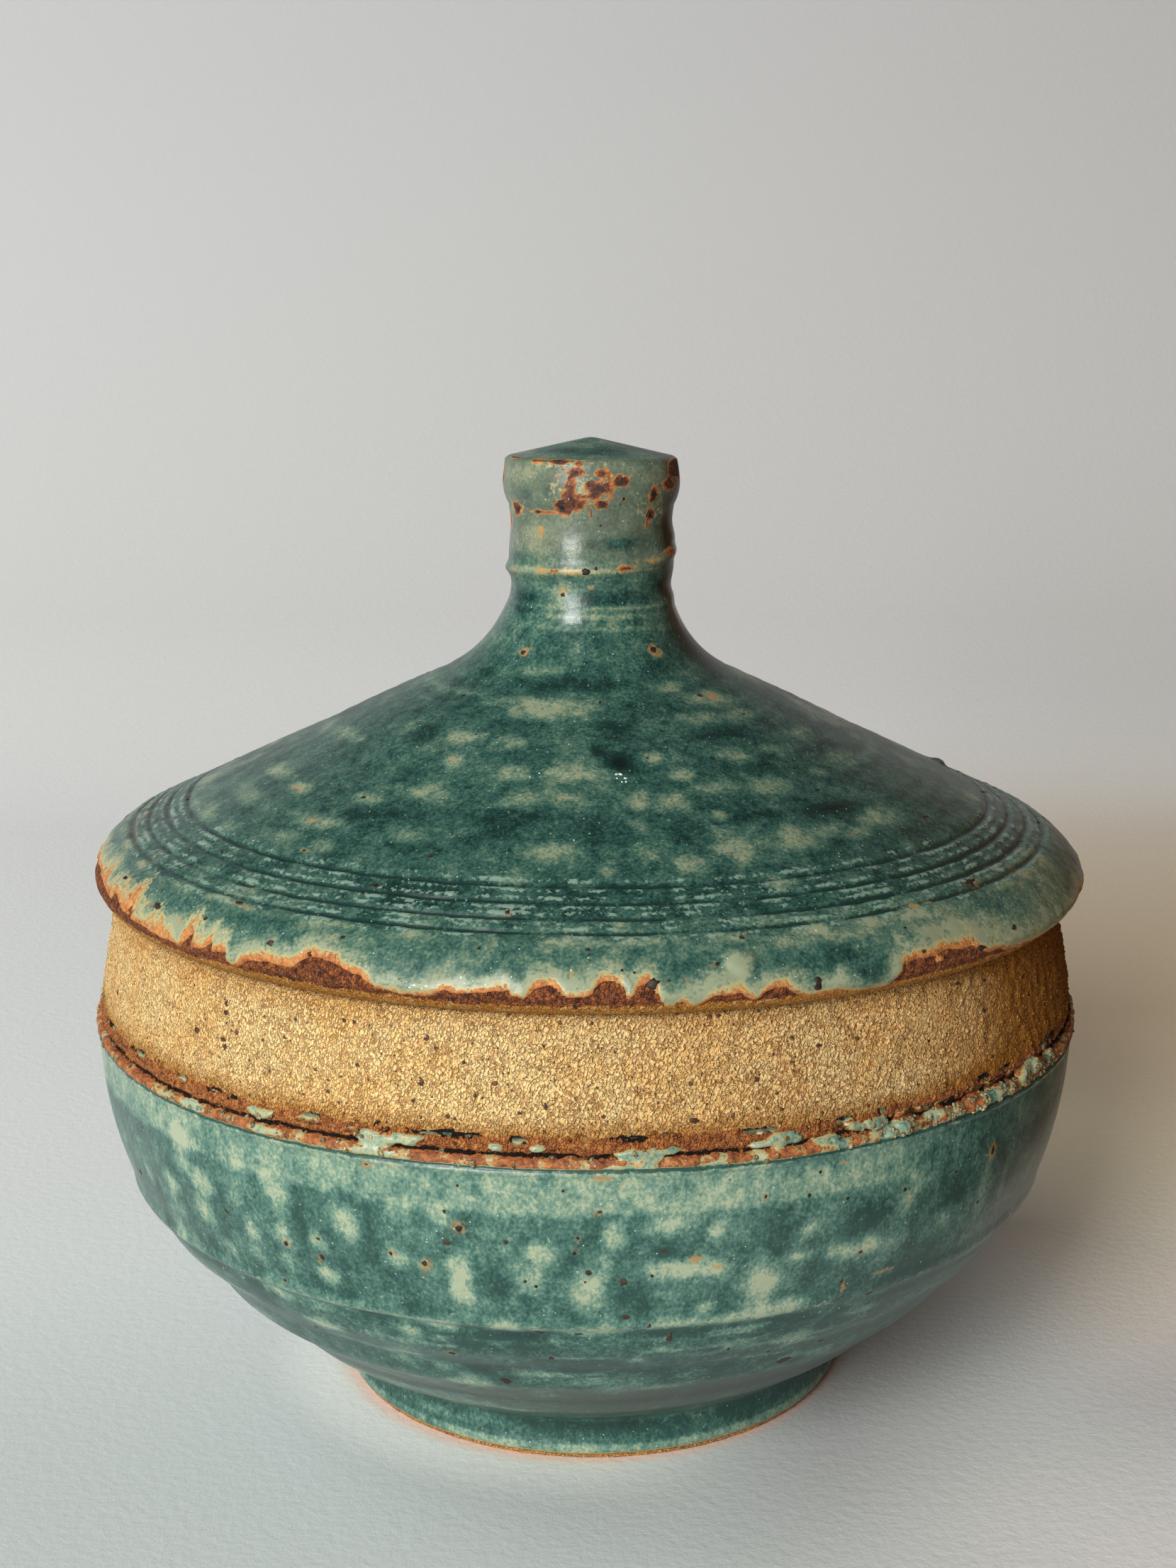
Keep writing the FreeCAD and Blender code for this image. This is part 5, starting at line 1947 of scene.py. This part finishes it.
    def build_liner(self) -> None:
        """The glaze poured round the inside."""
        form = Turning(self.stance)
        form.start(0.0, 13.0, 1).line(8.0, 13.0, 8.0, 120).line(34.0, 13.0, 8.0)
        form.arc(73.0, 39.4, 71.0, Bend.SWELLS, 5.0, 240).arc(78.5, 65.5, 67.0, Bend.SWELLS, 5.0)
        form.line(75.6, 84.0, 3.0).line(74.5, 84.4, 0.4, 480).line(74.4, 83.8, 0.4)
        form.arc(77.05, 65.5, 90.0, Bend.HOLLOWS, 1.5).arc(71.5, 39.4, 66.0, Bend.HOLLOWS, 1.5)
        form.arc(33.8, 14.5, 70.0, Bend.HOLLOWS, 1.5, 240).line(8.0, 14.5, 3.0).line(0.0, 14.5, 4.0, 1)
        skin = form.skin()
        points = skin.points()
        inside = skin.along > np.median(skin.along)
        rise = np.where(inside, 0.12 * layered_noise(points, 12.0, Pattern.LINER_SKIN, 2) - 0.05, 0.0)
        rings = 0.25 * np.sin(skin.along * 0.9) * ease(20.0, 30.0, skin.height) * inside
        edge = skin.height + 0.5 * layered_noise(points, 4.0, Pattern.LINER_EDGE)
        fields = {name: skin.even(0.0) for name in ("ochre", "rust", "crest", "groove", "fire")}
        fields |= {
            "cloud": 0.5 + 0.6 * layered_noise(points, 9.0, Pattern.LINER_CLOUD),
            "pool": 0.8 * ease(30.0, 16.0, skin.height),
            "thin": 0.9 * ease(82.6, 84.2, edge),
            "shine": skin.even(0.8),
        }
        piece = wear(form.piece("liner_coat", rise + rings, fields), Finish.LINER)
        hand_over(piece, Body.POT, "liner_glaze", "liner_glaze")

    def build(self) -> None:
        """Builds every piece of the pot."""
        self.build_foot()
        wall, in_clay = self.build_wall()
        glaze, in_glaze = self.build_glaze()
        self.build_liner()
        more = in_glaze.strewn(Draw.BOWL_SPOTS, 60, 12.0, 65.0)
        spots = in_glaze.build("bowl_iron_spots", BOWL_IRON, more=more)
        hand_over(wear(spots, Finish.IRON), Body.POT, "teal_glaze")
        more = in_clay.strewn(Draw.BAND_SPOTS, 60, 72.5, 87.0)
        spots = in_clay.build("band_iron_spots", BAND_IRON, 0.11, more)
        hand_over(wear(spots, Finish.CLAY_IRON), Body.POT, "bare_clay")
        tree = scatter_tree("Clay grit", 1)
        grown = (
            ("band_grit", wall, "grit", 0.9e6, 0.12, 0.32, 0.75, Draw.GRIT, Finish.GRIT, "bare_clay"),
            ("torn_crumbs", wall, "crumbs", 0.9e6, 0.16, 0.45, 0.8, Draw.TORN, Finish.TORN, "bare_clay"),
            ("glaze_crumbs", glaze, "crumbs", 1e6, 0.18, 0.55, 0.8, Draw.CRUMBS, Finish.CRUMB, "teal_glaze"),
        )
        for name, surface, thinned, density, smallest, largest, flatness, seed, finish, slot in grown:
            sizes = {"Smallest": smallest * MM, "Largest": largest * MM, "Flatness": flatness}
            rest = {"Density": density, "Field": thinned, "Seed": int(seed), "Finish": finish.material}
            hand_over(grow(surface, tree, name, **sizes, **rest), Body.POT, slot)


@dataclass
class LidCoat:
    """Masks that the lid's coat is shaped and coloured with, a number for each point."""

    outside: np.ndarray
    base: np.ndarray
    depth: np.ndarray
    rim: np.ndarray
    covered: np.ndarray
    groove: np.ndarray
    crest: np.ndarray
    ridge: np.ndarray
    knob: np.ndarray
    cone: np.ndarray


@dataclass
class Lid:
    """The lid: thrown dome, centring flange, knob and its glaze. Sizes in millimetres."""

    stance: Stance = field(default_factory=lambda: Stance(lift=0.45))
    knob_shift: float = 0.5
    count: int = 672
    comb_radii: tuple[float, ...] = (68.7, 72.1, 75.2, 78.0)
    ridge_path: tuple[tuple[float, float, float], ...] = (
        (-7.9, 133.7, 0.0), (-6.3, 136.0, 0.3), (-4.7, 137.4, 0.5), (-3.1, 139.7, 0.8), (-1.6, 142.1, 1.0),
        (0.0, 142.9, 0.9), (0.9, 144.0, 0.9), (1.6, 145.4, 0.6), (2.2, 146.3, 0.4), (2.7, 146.6, 0.0),
    )

    def ridge(self, skin: Skin) -> np.ndarray:
        """Reads how near each point is to the crest of the knob's winding ridge.

        Args:
            skin: The coat's points.

        Returns:
            1 on the crest, faint on its lowest turn, 0 away from it.
        """
        total = skin.even(0.0)
        turns, heights, strengths = zip(*self.ridge_path)
        for lap in range(3):
            turn = skin.angle - 2 * math.pi * lap
            strength = np.interp(turn, turns, strengths, left=0.0, right=0.0)
            total = np.maximum(total, strength * bell(skin.height, np.interp(turn, turns, heights), 0.95))
        return total

    def comb(self, skin: Skin) -> tuple[np.ndarray, np.ndarray]:
        """Reads where the comb went.

        Args:
            skin: The coat's points.

        Returns:
            How deep each point lies in the comb's lines, and how high on the lips beside them.
        """
        points = skin.points()
        radius = skin.radius + 0.4 * lattice_noise(points * 0.02, Pattern.COMB_WANDER)
        radius = radius + 0.12 * layered_noise(points, 2.0, Pattern.COMB_FRAY, 2)
        away = np.min(np.abs(radius[:, None] - np.array(self.comb_radii)), 1)
        top = (skin.height > 97.0) & (skin.out_height > 0.3)
        return bell(away, 0.0, 0.42) * top, bell(away, 0.9, 0.5) * top

    def build_dome(self) -> None:
        """The clay of the lid, whose toasted edge shows under the glaze."""
        n = self.count
        form = Turning(self.stance)
        form.start(0.0, 117.4, 1).line(8.0, 117.4, 8.0, n // 8).line(22.2, 117.4, 5.0, n // 4)
        form.line(68.0, 96.9, 4.0, n // 2).line(72.4, 94.9, 1.5).line(75.8, 88.75, 1.5)
        form.line(81.4, 88.75, 0.8, n).line(82.3, 89.1, 0.3).arc(84.45, 92.3, 3.9, Bend.SWELLS, 0.3, n)
        form.arc(80.5, 97.6, 12.0, Bend.SWELLS, 0.4, n).line(77.0, 98.6, 1.0, n // 2)
        form.line(68.0, 102.6, 3.0, n // 4).line(26.0, 122.0, 6.0)
        form.line(8.0, 123.0, 5.0, n // 8).line(0.0, 123.0, 8.0, 1)
        skin = form.skin()
        points = skin.points()
        outer = (skin.radius > 76) & (skin.height > 88.9) & (skin.out_radius > -0.1)
        grain = 0.05 * layered_noise(points, 1.3, Pattern.DOME_GRAIN, 2)
        wave = 0.10 * layered_noise(points, 14.0, Pattern.DOME_WAVE, 2)
        rise = np.where(outer, grain - 0.18 * bell(skin.height, 90.9, 0.35) + wave, 0.0)
        edge = skin.height + 0.35 * layered_noise(points, 4.0, Pattern.DOME_TOAST)
        fields = {
            "toast": np.where(outer, ease(90.1, 91.2, edge), 0.0),
            "warm": np.where(skin.radius > 70, 1.0, 0.35),
            "burnt": skin.even(0.0),
        }
        piece = wear(form.piece("lid_dome_thrown", rise, fields), Finish.CLAY)
        hand_over(piece, Body.LID, "bare_clay", "lid_dome")

    def build_flange(self) -> None:
        """The ring under the lid that drops into the mouth."""
        form = Turning(self.stance, closed=True)
        form.start(69.2, 80.6, 360).line(70.6, 80.6, 0.8).line(71.6, 81.6, 0.4).line(72.4, 95.0, 1.6)
        form.line(68.0, 96.9, 1.6).line(68.0, 81.7, 1.6)
        skin = form.skin()
        points = skin.points()
        rise = 0.08 * layered_noise(points, 3.0, Pattern.FLANGE_SKIN, 2) - 0.1
        fields = {
            "toast": 0.1 * layered_noise(points, 8.0, Pattern.FLANGE_TOAST),
            "warm": skin.even(0.25),
            "burnt": skin.even(0.0),
        }
        piece = wear(form.piece("lid_flange_thrown", rise, fields), Finish.CLAY)
        hand_over(piece, Body.LID, "bare_clay", "lid_flange")

    def build_knob(self) -> None:
        """The clay of the knob, under the glaze."""
        form = Turning(self.stance)
        form.start(0.0, 121.0, 1).line(10.0, 121.0, 6.0, 96).line(25.0, 122.8, 5.0)
        form.arc(13.1, 137.0, 20.0, Bend.HOLLOWS, 1.5).line(13.3, 152.7, 1.5).line(14.1, 157.0, 1.5)
        form.line(13.5, 160.0, 1.5).line(5.0, 162.2, 2.5, 48).line(0.0, 162.9, 3.0, 1)
        skin = form.skin()
        fields = {"toast": skin.even(0.4), "warm": skin.even(0.6), "burnt": skin.even(0.0)}
        piece = wear(form.piece("lid_knob_thrown", skin.even(-0.1), fields), Finish.CLAY)
        self.shift_knob(hand_over(piece, Body.LID, "bare_clay", "lid_knob"))

    def walk_coat(self) -> Turning:
        """Walks the coat from the middle of its underside round its edge to the top of the knob.

        Returns:
            The form.
        """
        n = self.count
        form = Turning(self.stance)
        form.start(0.0, 122.0, 1).line(12.0, 122.0, 8.0, n // 8).line(24.0, 121.5, 5.0, n // 4)
        form.line(66.0, 102.0, 7.0).line(80.0, 95.6, 5.0, n // 2).line(82.6, 92.5, 1.5, n)
        form.line(82.4, 90.0, 1.0).line(83.0, 89.7, 0.4)
        form.arc(84.93, 92.5, 4.2, Bend.SWELLS, 0.42, n).arc(77.7, 99.6, 12.2, Bend.SWELLS, 0.42, n)
        form.line(68.4, 103.9, 0.25, n).arc(48.0, 113.6, 400.0, Bend.SWELLS, 0.95, n)
        form.arc(25.6, 124.35, 400.0, Bend.SWELLS, 0.95, n // 2)
        form.arc(14.05, 137.4, 19.6, Bend.HOLLOWS, 0.7, n // 4).line(14.3, 152.9, 0.5)
        form.arc(14.95, 157.2, 9.0, Bend.SWELLS, 0.5).line(14.55, 160.5, 0.5)
        form.line(13.9, 160.95, 0.4).line(6.0, 162.8, 0.8, n // 8)
        return form.line(0.9, 163.95, 1.0).line(0.0, 164.05, 1.0, 1)

    def edge_of_glaze(self, skin: Skin) -> np.ndarray:
        """Reads how far each point stands inside the glaze's lower edge.

        Args:
            skin: The coat's points.

        Returns:
            Millimetres along the outline.
        """
        places = [skin.find(*place) for place in LID_GLAZE_EDGE]
        order = np.argsort(skin.angle[places])
        turns, heights = skin.angle[places][order], skin.along[places][order]
        ring = np.linspace(-math.pi, math.pi, 2048)
        circle = RIM * np.stack([np.sin(ring), np.cos(ring), np.zeros_like(ring)], 1)
        unseen = float(np.median(heights)) - 0.3 + 1.5 * layered_noise(circle, 16.0, Pattern.HEM, 4)
        unseen = unseen + 0.8 * np.abs(layered_noise(circle, 5.0, Pattern.HEM_SCALLOPS, 2))
        inside = window(ring, turns[0] - 0.05, turns[0] + 0.05, turns[-1] - 0.05, turns[-1] + 0.05)
        line = np.interp(ring, turns, heights) * inside + unseen * (1 - inside)
        return skin.along - np.interp(skin.angle, ring, line)

    def read_coat(self, skin: Skin) -> LidCoat:
        """Works out where the coat holds, and where its comb lines and the ridge run.

        Args:
            skin: The coat's points.

        Returns:
            The masks.
        """
        points = skin.points()
        first = (skin.radius > 82.95) & (skin.radius < 83.05) & (skin.height < 89.8)
        base = skin.along - skin.along[first].min()
        outside = base >= 0.0
        depth = self.edge_of_glaze(skin) + 0.4 * layered_noise(points, 2.4, Pattern.HEM_FRAY, 3)
        depth = np.where(outside, depth, -9.0)
        holes = ease(0.3, 0.7, skin.spread(LID_PALE_HOLES, 0.5, 0.4))
        groove, lips = self.comb(skin)
        broken = np.clip(0.5 + 0.9 * layered_noise(points, 2.2, Pattern.LIP_BREAKS, 3), 0.0, 1.3)
        deep = np.clip(0.85 + 0.9 * layered_noise(points, 7.0, Pattern.LINE_DEPTH), 0.15, 1.3)
        knob = (skin.radius < 30) & (skin.height > 125)
        return LidCoat(
            outside=outside,
            base=base,
            depth=depth,
            rim=outside & (base < 17),
            covered=np.maximum(ease(-1.5, -0.3, depth), holes * 0.8),
            groove=groove * deep,
            crest=lips * broken,
            ridge=self.ridge(skin),
            knob=knob,
            cone=outside & ~knob,
        )

    def shape_coat(self, skin: Skin, coat: LidCoat) -> np.ndarray:
        """Works out the coat's relief.

        Args:
            skin: The coat's points.
            coat: Its masks.

        Returns:
            How far each point stands out, in millimetres.
        """
        points = skin.points()
        barrel = window(skin.height, 133.5, 138.0, 158.0, 162.0)
        waist = -0.50 * bell(skin.height, 150.0, 3.6) - 0.35 * bell(skin.height, 139.6, 1.8)
        facet = 0.28 * lattice_noise(stretched(points, 1.0, 1.0, 0.6) * 0.09, Pattern.KNOB_FACETS)
        bulge = 0.38 * bell(skin.angle, 1.5, 0.5) * bell(skin.height, 147.6, 1.7)
        thrown = barrel * (0.6 * coat.ridge + waist + facet + bulge) + 0.1 * coat.ridge
        slow = 0.16 * lattice_noise(points * 0.045, Pattern.CONE_WAVE)
        slow = slow + 0.07 * layered_noise(points, 5.0, Pattern.CONE_SKIN, 2)
        turning = 0.05 * np.sin(skin.radius * 1.9) * (skin.height > 104) * (skin.radius > 22)
        swollen = np.clip(0.5 + layered_noise(points, 4.0, Pattern.HEM_BEAD, 2), 0, 1)
        bead = 0.2 * swollen * bell(coat.depth, 1.6, 1.3) * coat.rim
        bead = bead + 0.08 * layered_noise(points, 1.3, Pattern.RIM_GRAIN, 2) * coat.rim
        cone = slow + turning + 0.14 * coat.crest - 0.36 * coat.groove + bead - 0.14
        rise = np.where(coat.cone, cone, 0.0) + np.where(coat.knob, thrown, 0.0)
        rise = rise + skin.spread(LID_BUMPS, 0.25, 0.5)
        return np.where(coat.outside, rise - (1 - coat.covered) * 1.6 * coat.rim, 0.0)

    def colour_coat(self, skin: Skin, coat: LidCoat) -> dict[str, np.ndarray]:
        """Works out the numbers that the glaze is coloured with.

        Args:
            skin: The coat's points.
            coat: Its masks.

        Returns:
            The numbers by name.
        """
        points = skin.points()
        height = skin.height
        low = skin.along[coat.outside & (skin.radius > 67.9)].max()
        high = skin.along[coat.outside & (skin.radius > 26)].max()
        top = skin.along.max()
        wander = 2.4 * layered_noise(points, 4.0, Pattern.EDGE_WANDER, 3)
        lip = bell(skin.radius + 0.25 * wander, 79.7, 0.8) * (height > 97)
        lip = lip * np.clip(0.6 + 0.4 * wander, 0, 1)
        side = ease(0.75, 1.05, np.abs(skin.angle)) * coat.rim * ease(2.0, 5.0, coat.base)
        on_knob = window(height, 126.0, 135.0, 160.7, 161.3)
        pools = skin.spread(LID_POOLS + KNOB_POOLS)
        pools = pools + skin.strew(Draw.LID_POOLS, 40, low - 8, high, (3.0, 8.0), (1.5, 4.0))

        clouds = skin.spread(LID_CLOUDS + KNOB_CLOUDS)
        clouds = clouds + skin.strew(Draw.LID_CLOUDS, 95, low, high, (2.5, 6.0), (1.2, 3.4))
        clouds = clouds + 0.85 * ease(5.0, 1.2, coat.depth + wander) * coat.rim + 0.7 * lip
        sage = 0.20 + 0.08 * ease(146.0, 149.5, height) + 0.25 * layered_noise(points, 5.0, Pattern.KNOB_SAGE)
        # The last term pales the knob's top: in part its glaze, in part painted grey sheen.
        clouds = clouds + on_knob * sage + 0.2 * coat.ridge * coat.knob + 0.34 * ease(160.6, 161.2, height)
        combed = 0.19 + 0.2 * layered_noise(points, 2.2, Pattern.COMB_CLOUD, 2)
        combed = combed * window(skin.radius, 65.0, 68.0, 77.5, 79.0)
        # Painted shade: the combed zone loses clouds towards the right.
        combed = combed - 0.16 * skin.right(0.4, 0.8) * ease(80.0, 70.0, skin.radius)
        clouds = clouds + 0.3 * coat.rim + combed * coat.cone - 0.1 * side

        licks = np.stack([RIM * np.sin(skin.angle), RIM * np.cos(skin.angle), skin.along * 0.35], 1)
        licks = layered_noise(licks, 2.2, Pattern.FLAMES, 2)
        flames = np.clip(1.0 - coat.depth / (4.0 + 4.0 * licks), 0.0, 0.9) * ease(-0.5, 0.2, licks)
        flames = flames * ease(0.55, 0.85, np.abs(skin.angle)) * coat.rim * (1 - 0.6 * skin.right(0.2, 0.5))
        hem = np.maximum.reduce([ease(1.8, -0.5, coat.depth), ease(0.8, 0.35, coat.covered), flames])
        ochre = skin.spread(LID_OCHRES + KNOB_OCHRES + halos(LID_IRON, 1.9, 0.4), 0.45, 0.6)
        along_ridge = ease(-0.3, 0.5, lattice_noise(points * 0.4, Pattern.RIDGE_OCHRE))
        rust = skin.spread(KNOB_RUST, 0.4, 0.4)
        rust = rust + skin.strew(Draw.KNOB_RUST, 10, top - 34, top - 18, (0.8, 2.2), (0.8, 2.0))
        glossy = 0.2 + 0.45 * bell(height, 146.6, 2.6) + 0.45 * bell(height, 135.5, 3.5)
        # Painted shade: on the knob, pool rises round the right side, past where the glaze turns black.
        pool = pools * (1 - 0.5 * lip) + 1.3 * coat.knob * window(skin.angle, 0.85, 1.25, 1.9, 2.2)
        return {
            "cloud": clouds,
            "pool": pool + 0.3 * window(height, 97.5, 99.5, 103.5, 104.8),
            "ochre": ochre + 0.5 * coat.ridge * coat.knob * along_ridge + 0.4 * side * ease(0.1, 0.7, wander),
            "thin": np.where(coat.rim, hem, skin.spread(KNOB_THIN, 0.5, 0.8)),
            "rust": rust,
            "crest": coat.crest,
            "groove": coat.groove,
            "fire": np.where(coat.knob, 0.9 - 1.5 * ease(0.45, 1.1, rust), 0.85),
            "shine": np.where(coat.knob, glossy, 0.1),
            "beige": 0.42 * on_knob * ease(141.0, 147.0, height) * (1 - np.clip(pools, 0, 1)),
        }

    def build_glaze(self) -> tuple[Skin, np.ndarray]:
        """Builds the teal coat from the lid's edge to the top of the knob.

        Returns:
            The coat's points and how far each stands out, for the spots that are set into it.
        """
        form = self.walk_coat()
        skin = form.skin()
        coat = self.read_coat(skin)
        rise = self.shape_coat(skin, coat)
        piece = form.piece("lid_teal_coat", rise, self.colour_coat(skin, coat))
        self.shift_knob(piece)
        hand_over(wear(piece, Finish.LID_TEAL), Body.LID, "teal_glaze", "lid_glaze")
        return skin, rise

    def shift_knob(self, piece: bpy.types.Object) -> None:
        """Leans the knob a little to the right, as it was thrown."""

        def lean(places: np.ndarray) -> np.ndarray:
            """Moves the places at the knob's height."""
            places[:, 0] += self.knob_shift * MM * ease(0.122, 0.142, places[:, 2])
            return places

        move_points(piece, lean)

    def build(self) -> None:
        """Builds every piece of the lid."""
        self.build_dome()
        self.build_flange()
        self.build_knob()
        surface = self.build_glaze()
        iron = IronAndGlintDomes(*surface)
        more = iron.strewn(Draw.LID_SPOTS, 45, 97.0, 128.0)
        spots = iron.build("lid_iron_spots", LID_IRON + KNOB_IRON, more=more)
        self.shift_knob(spots)
        hand_over(wear(spots, Finish.IRON), Body.LID, "teal_glaze")
        # Painted glints: tiny pale domes where the lid's glaze shows highlights.
        glint_domes = IronAndGlintDomes(*surface, sides=8).build("lid_painted_glints", LID_PAINTED_GLINTS, 0.08)
        hand_over(wear(glint_domes, Finish.PAINTED_GLINT), Body.LID, "teal_glaze")


# The studio ---------------------------------------------------------------------------------

@dataclass
class Lamp:
    """A soft rectangular lamp, in metres and watts."""

    name: str
    place: tuple[float, float, float]
    aim: tuple[float, float, float]
    size: tuple[float, float]
    power: float
    colour: tuple[float, float, float]
    mirrored: bool = True

    def build(self) -> None:
        """Adds the lamp to the scene."""
        data = bpy.data.lights.new(self.name, "AREA")
        data.shape = "RECTANGLE"
        data.size, data.size_y = self.size
        data.energy = self.power
        data.color = self.colour
        lamp = bpy.data.objects.new(self.name, data)
        lamp.location = self.place
        lamp.visible_glossy = self.mirrored
        x, y, z = np.array(self.place) - np.array(self.aim)
        lamp.rotation_euler = (math.atan2(math.hypot(x, y), z), 0.0, math.atan2(y, x) + math.pi / 2)
        bpy.context.scene.collection.objects.link(lamp)


@dataclass
class Studio:
    """A pale sweep, a tall window at the front left, a brown card at the right, and fill."""

    # Tones of the paper that paint light: darker up the wall and at the front, a painted shadow with warm
    # bounce beside the pot on the right, painted light near the camera on the right, painted shade near the
    # camera on the left, painted light left of the foot, painted shadow right of it, and a painted orange
    # bounce where the foot stands.
    paper_and_painted_light: tuple[tuple[float, Colour], ...] = (
        (0.0, (0.68, 0.73, 0.725, 1.0)), (0.22, (0.79, 0.81, 0.81, 1.0)), (0.45, (0.79, 0.80, 0.795, 1.0)),
        (0.66, (0.585, 0.585, 0.58, 1.0)), (1.0, (0.50, 0.505, 0.515, 1.0)),
    )
    painted_shadow_and_bounce: tuple[tuple[float, Colour], ...] = (
        (0.0, (0.72, 0.70, 0.70, 1.0)), (0.055, (0.86, 0.80, 0.72, 1.0)), (0.117, (1.0, 0.94, 0.80, 1.0)),
        (0.19, (0.91, 0.80, 0.60, 1.0)), (0.274, (0.80, 0.67, 0.49, 1.0)), (0.38, (0.67, 0.54, 0.385, 1.0)),
        (0.508, (0.72, 0.60, 0.44, 1.0)), (0.674, (0.77, 0.67, 0.53, 1.0)), (0.86, (0.79, 0.76, 0.72, 1.0)),
        (1.0, (0.79, 0.79, 0.785, 1.0)),
    )
    painted_light_near_right: Colour = (0.95, 0.94, 0.93, 1.0)
    painted_shade_near_left: Colour = (0.60, 0.64, 0.635, 1.0)
    painted_light_left_of_foot: Colour = (0.86, 0.88, 0.85, 1.0)
    painted_shadow_right_of_foot: Colour = (0.36, 0.36, 0.37, 1.0)
    painted_bounce_at_foot: Colour = (0.88, 0.52, 0.38, 1.0)
    card: tuple[Colour, Colour] = ((0.21, 0.105, 0.045, 1.0), (0.15, 0.07, 0.028, 1.0))
    air: Colour = (1.0, 0.95, 0.88, 1.0)
    room: float = 0.05
    wall: float = 0.5
    half_width: float = 1.8
    bend: float = 0.30
    bend_start: float = 0.40
    lamps: tuple[Lamp, ...] = (
        Lamp("window", (-0.80, -1.70, 0.80), (0.0, 0.0, 0.07), (0.70, 1.20), 51.0, (1.0, 0.99, 0.955)),
        Lamp("left_fill", (-1.0, 0.15, 0.85), (0.0, 0.0, 0.05), (0.7, 0.7), 6.0, (0.95, 1.0, 1.0), False),
    )

    def paper(self) -> bpy.types.Material:
        """Wires up the paper, whose tone changes as the light on it does: painted light and painted shadow,
        and a painted orange bounce where the foot stands.

        Returns:
            The material.
        """
        material, w, shader = new_material("Pale paper")
        fibre = w.noise(w.place(), 0.5, 5.0, 0.65)
        across, back, up = w.add("ShaderNodeSeparateXYZ", {0: w.place()}).outputs
        run = w.plus(w.plus(back, up), w.times(fibre, 30.0))
        away = w.add("ShaderNodeVectorMath", {0: w.place((1.0, 1.0, 0.0))}, operation="LENGTH").outputs[1]
        # Painted light: the paper darkens towards the front and up the wall.
        tone = w.ramp(w.slope(run, -120.0, 1040.0), self.paper_and_painted_light)
        # Painted shadow with warm bounce, right of and behind the pot.
        beside = w.ramp(w.slope(run, -5.0, 560.0), self.painted_shadow_and_bounce)
        lengthwise = w.times(w.step(run, -32.0, -5.0), w.step(run, 600.0, 430.0))
        # Painted light and shade: the painted shadow beside the pot, painted light at the near right, painted
        # shade at the near left, painted light left of the foot and painted shadow right of it.
        tones = (
            (w.step(across, 65.0, 108.0), lengthwise, beside),
            (w.step(across, 20.0, 85.0), w.step(run, -5.0, -60.0), self.painted_light_near_right),
            (w.step(across, 40.0, -30.0), w.step(run, 60.0, -50.0, 0.0, 0.9), self.painted_shade_near_left),
            (w.step(away, 60.0, 47.0), w.step(across, 25.0, 0.0), self.painted_light_left_of_foot),
            (w.step(away, 90.0, 46.0, 0.0, 0.6), w.step(across, 10.0, 45.0), self.painted_shadow_right_of_foot),
        )
        for first, second, colour in tones:
            tone = w.mix(w.times(first, second), tone, colour)
        # Painted orange bounce on the paper where the foot stands.
        tone = w.mix(w.step(away, 47.0, 43.3, 0.0, 0.5), tone, self.painted_bounce_at_foot)
        w.feed(shader, {"Base Color": tone, "Roughness": 0.9, "Normal": w.bump(w.times(fibre, 0.5), 0.35)})
        return material

    def build_sweep(self) -> None:
        """The floor and the wall behind as one curved sheet."""
        turns = np.linspace(0.05, math.pi / 2, 24)
        profile = [(-1.6, 0.0), (self.bend_start, 0.0)]
        for turn in turns:
            back, up = self.bend * math.sin(turn), self.bend * (1.0 - math.cos(turn))
            profile.append((self.bend_start + back, up))
        profile.append((self.bend_start + self.bend, self.wall))
        sides = (-self.half_width, self.half_width)
        points = [(side, y, z - 0.00002) for y, z in profile for side in sides]
        faces = [(2 * i, 2 * i + 1, 2 * i + 3, 2 * i + 2) for i in range(len(profile) - 1)]
        mesh = bpy.data.meshes.new("paper_sweep")
        mesh.from_pydata(points, [], faces)
        mesh.shade_smooth()
        mesh.materials.append(self.paper())
        show("paper_sweep", mesh)

    def build_card(self) -> None:
        """A folded brown card at the right, out of sight, that keeps that side warm and dark."""
        material, w, shader = new_material("Brown card")
        tone = w.mix(w.noise(w.place((0.05, 0.05, 0.4)), 1.0), *self.card)
        w.feed(shader, {"Base Color": tone, "Roughness": 0.8})
        inner = [(0.088, -0.16), (0.155, 0.10), (0.22, 0.36), (0.315, 0.69)]
        outer = [(0.66, -0.34), (0.66, 0.10), (0.56, 0.36), (0.40, 0.70)]
        points = [(x, y, 0.0005) for x, y in inner + outer] + [(x, y, 0.70) for x, y in outer]
        faces = [(i, i + 4, i + 5, i + 1) for i in (0, 1, 2, 4, 5, 6)]
        mesh = bpy.data.meshes.new("brown_card")
        mesh.from_pydata(points, [], faces)
        mesh.materials.append(material)
        show("brown_card", mesh)

    def build(self) -> None:
        """Builds the sweep, the card, the lamps and the room's own light."""
        self.build_sweep()
        self.build_card()
        for lamp in self.lamps:
            lamp.build()
        world = bpy.data.worlds.new("room")
        world.use_nodes = True
        background = world.node_tree.nodes["Background"]
        background.inputs[0].default_value = self.air
        background.inputs[1].default_value = self.room
        bpy.context.scene.world = world
        bpy.context.scene.view_settings.view_transform = "Standard"


def main() -> None:
    """Builds the camera, the studio, the pot and the lid."""
    logging.basicConfig(level=logging.INFO, format="%(message)s")
    VIEW.place()
    Studio().build()
    Pot().build()
    Lid().build()


if __name__ == "__main__":
    main()
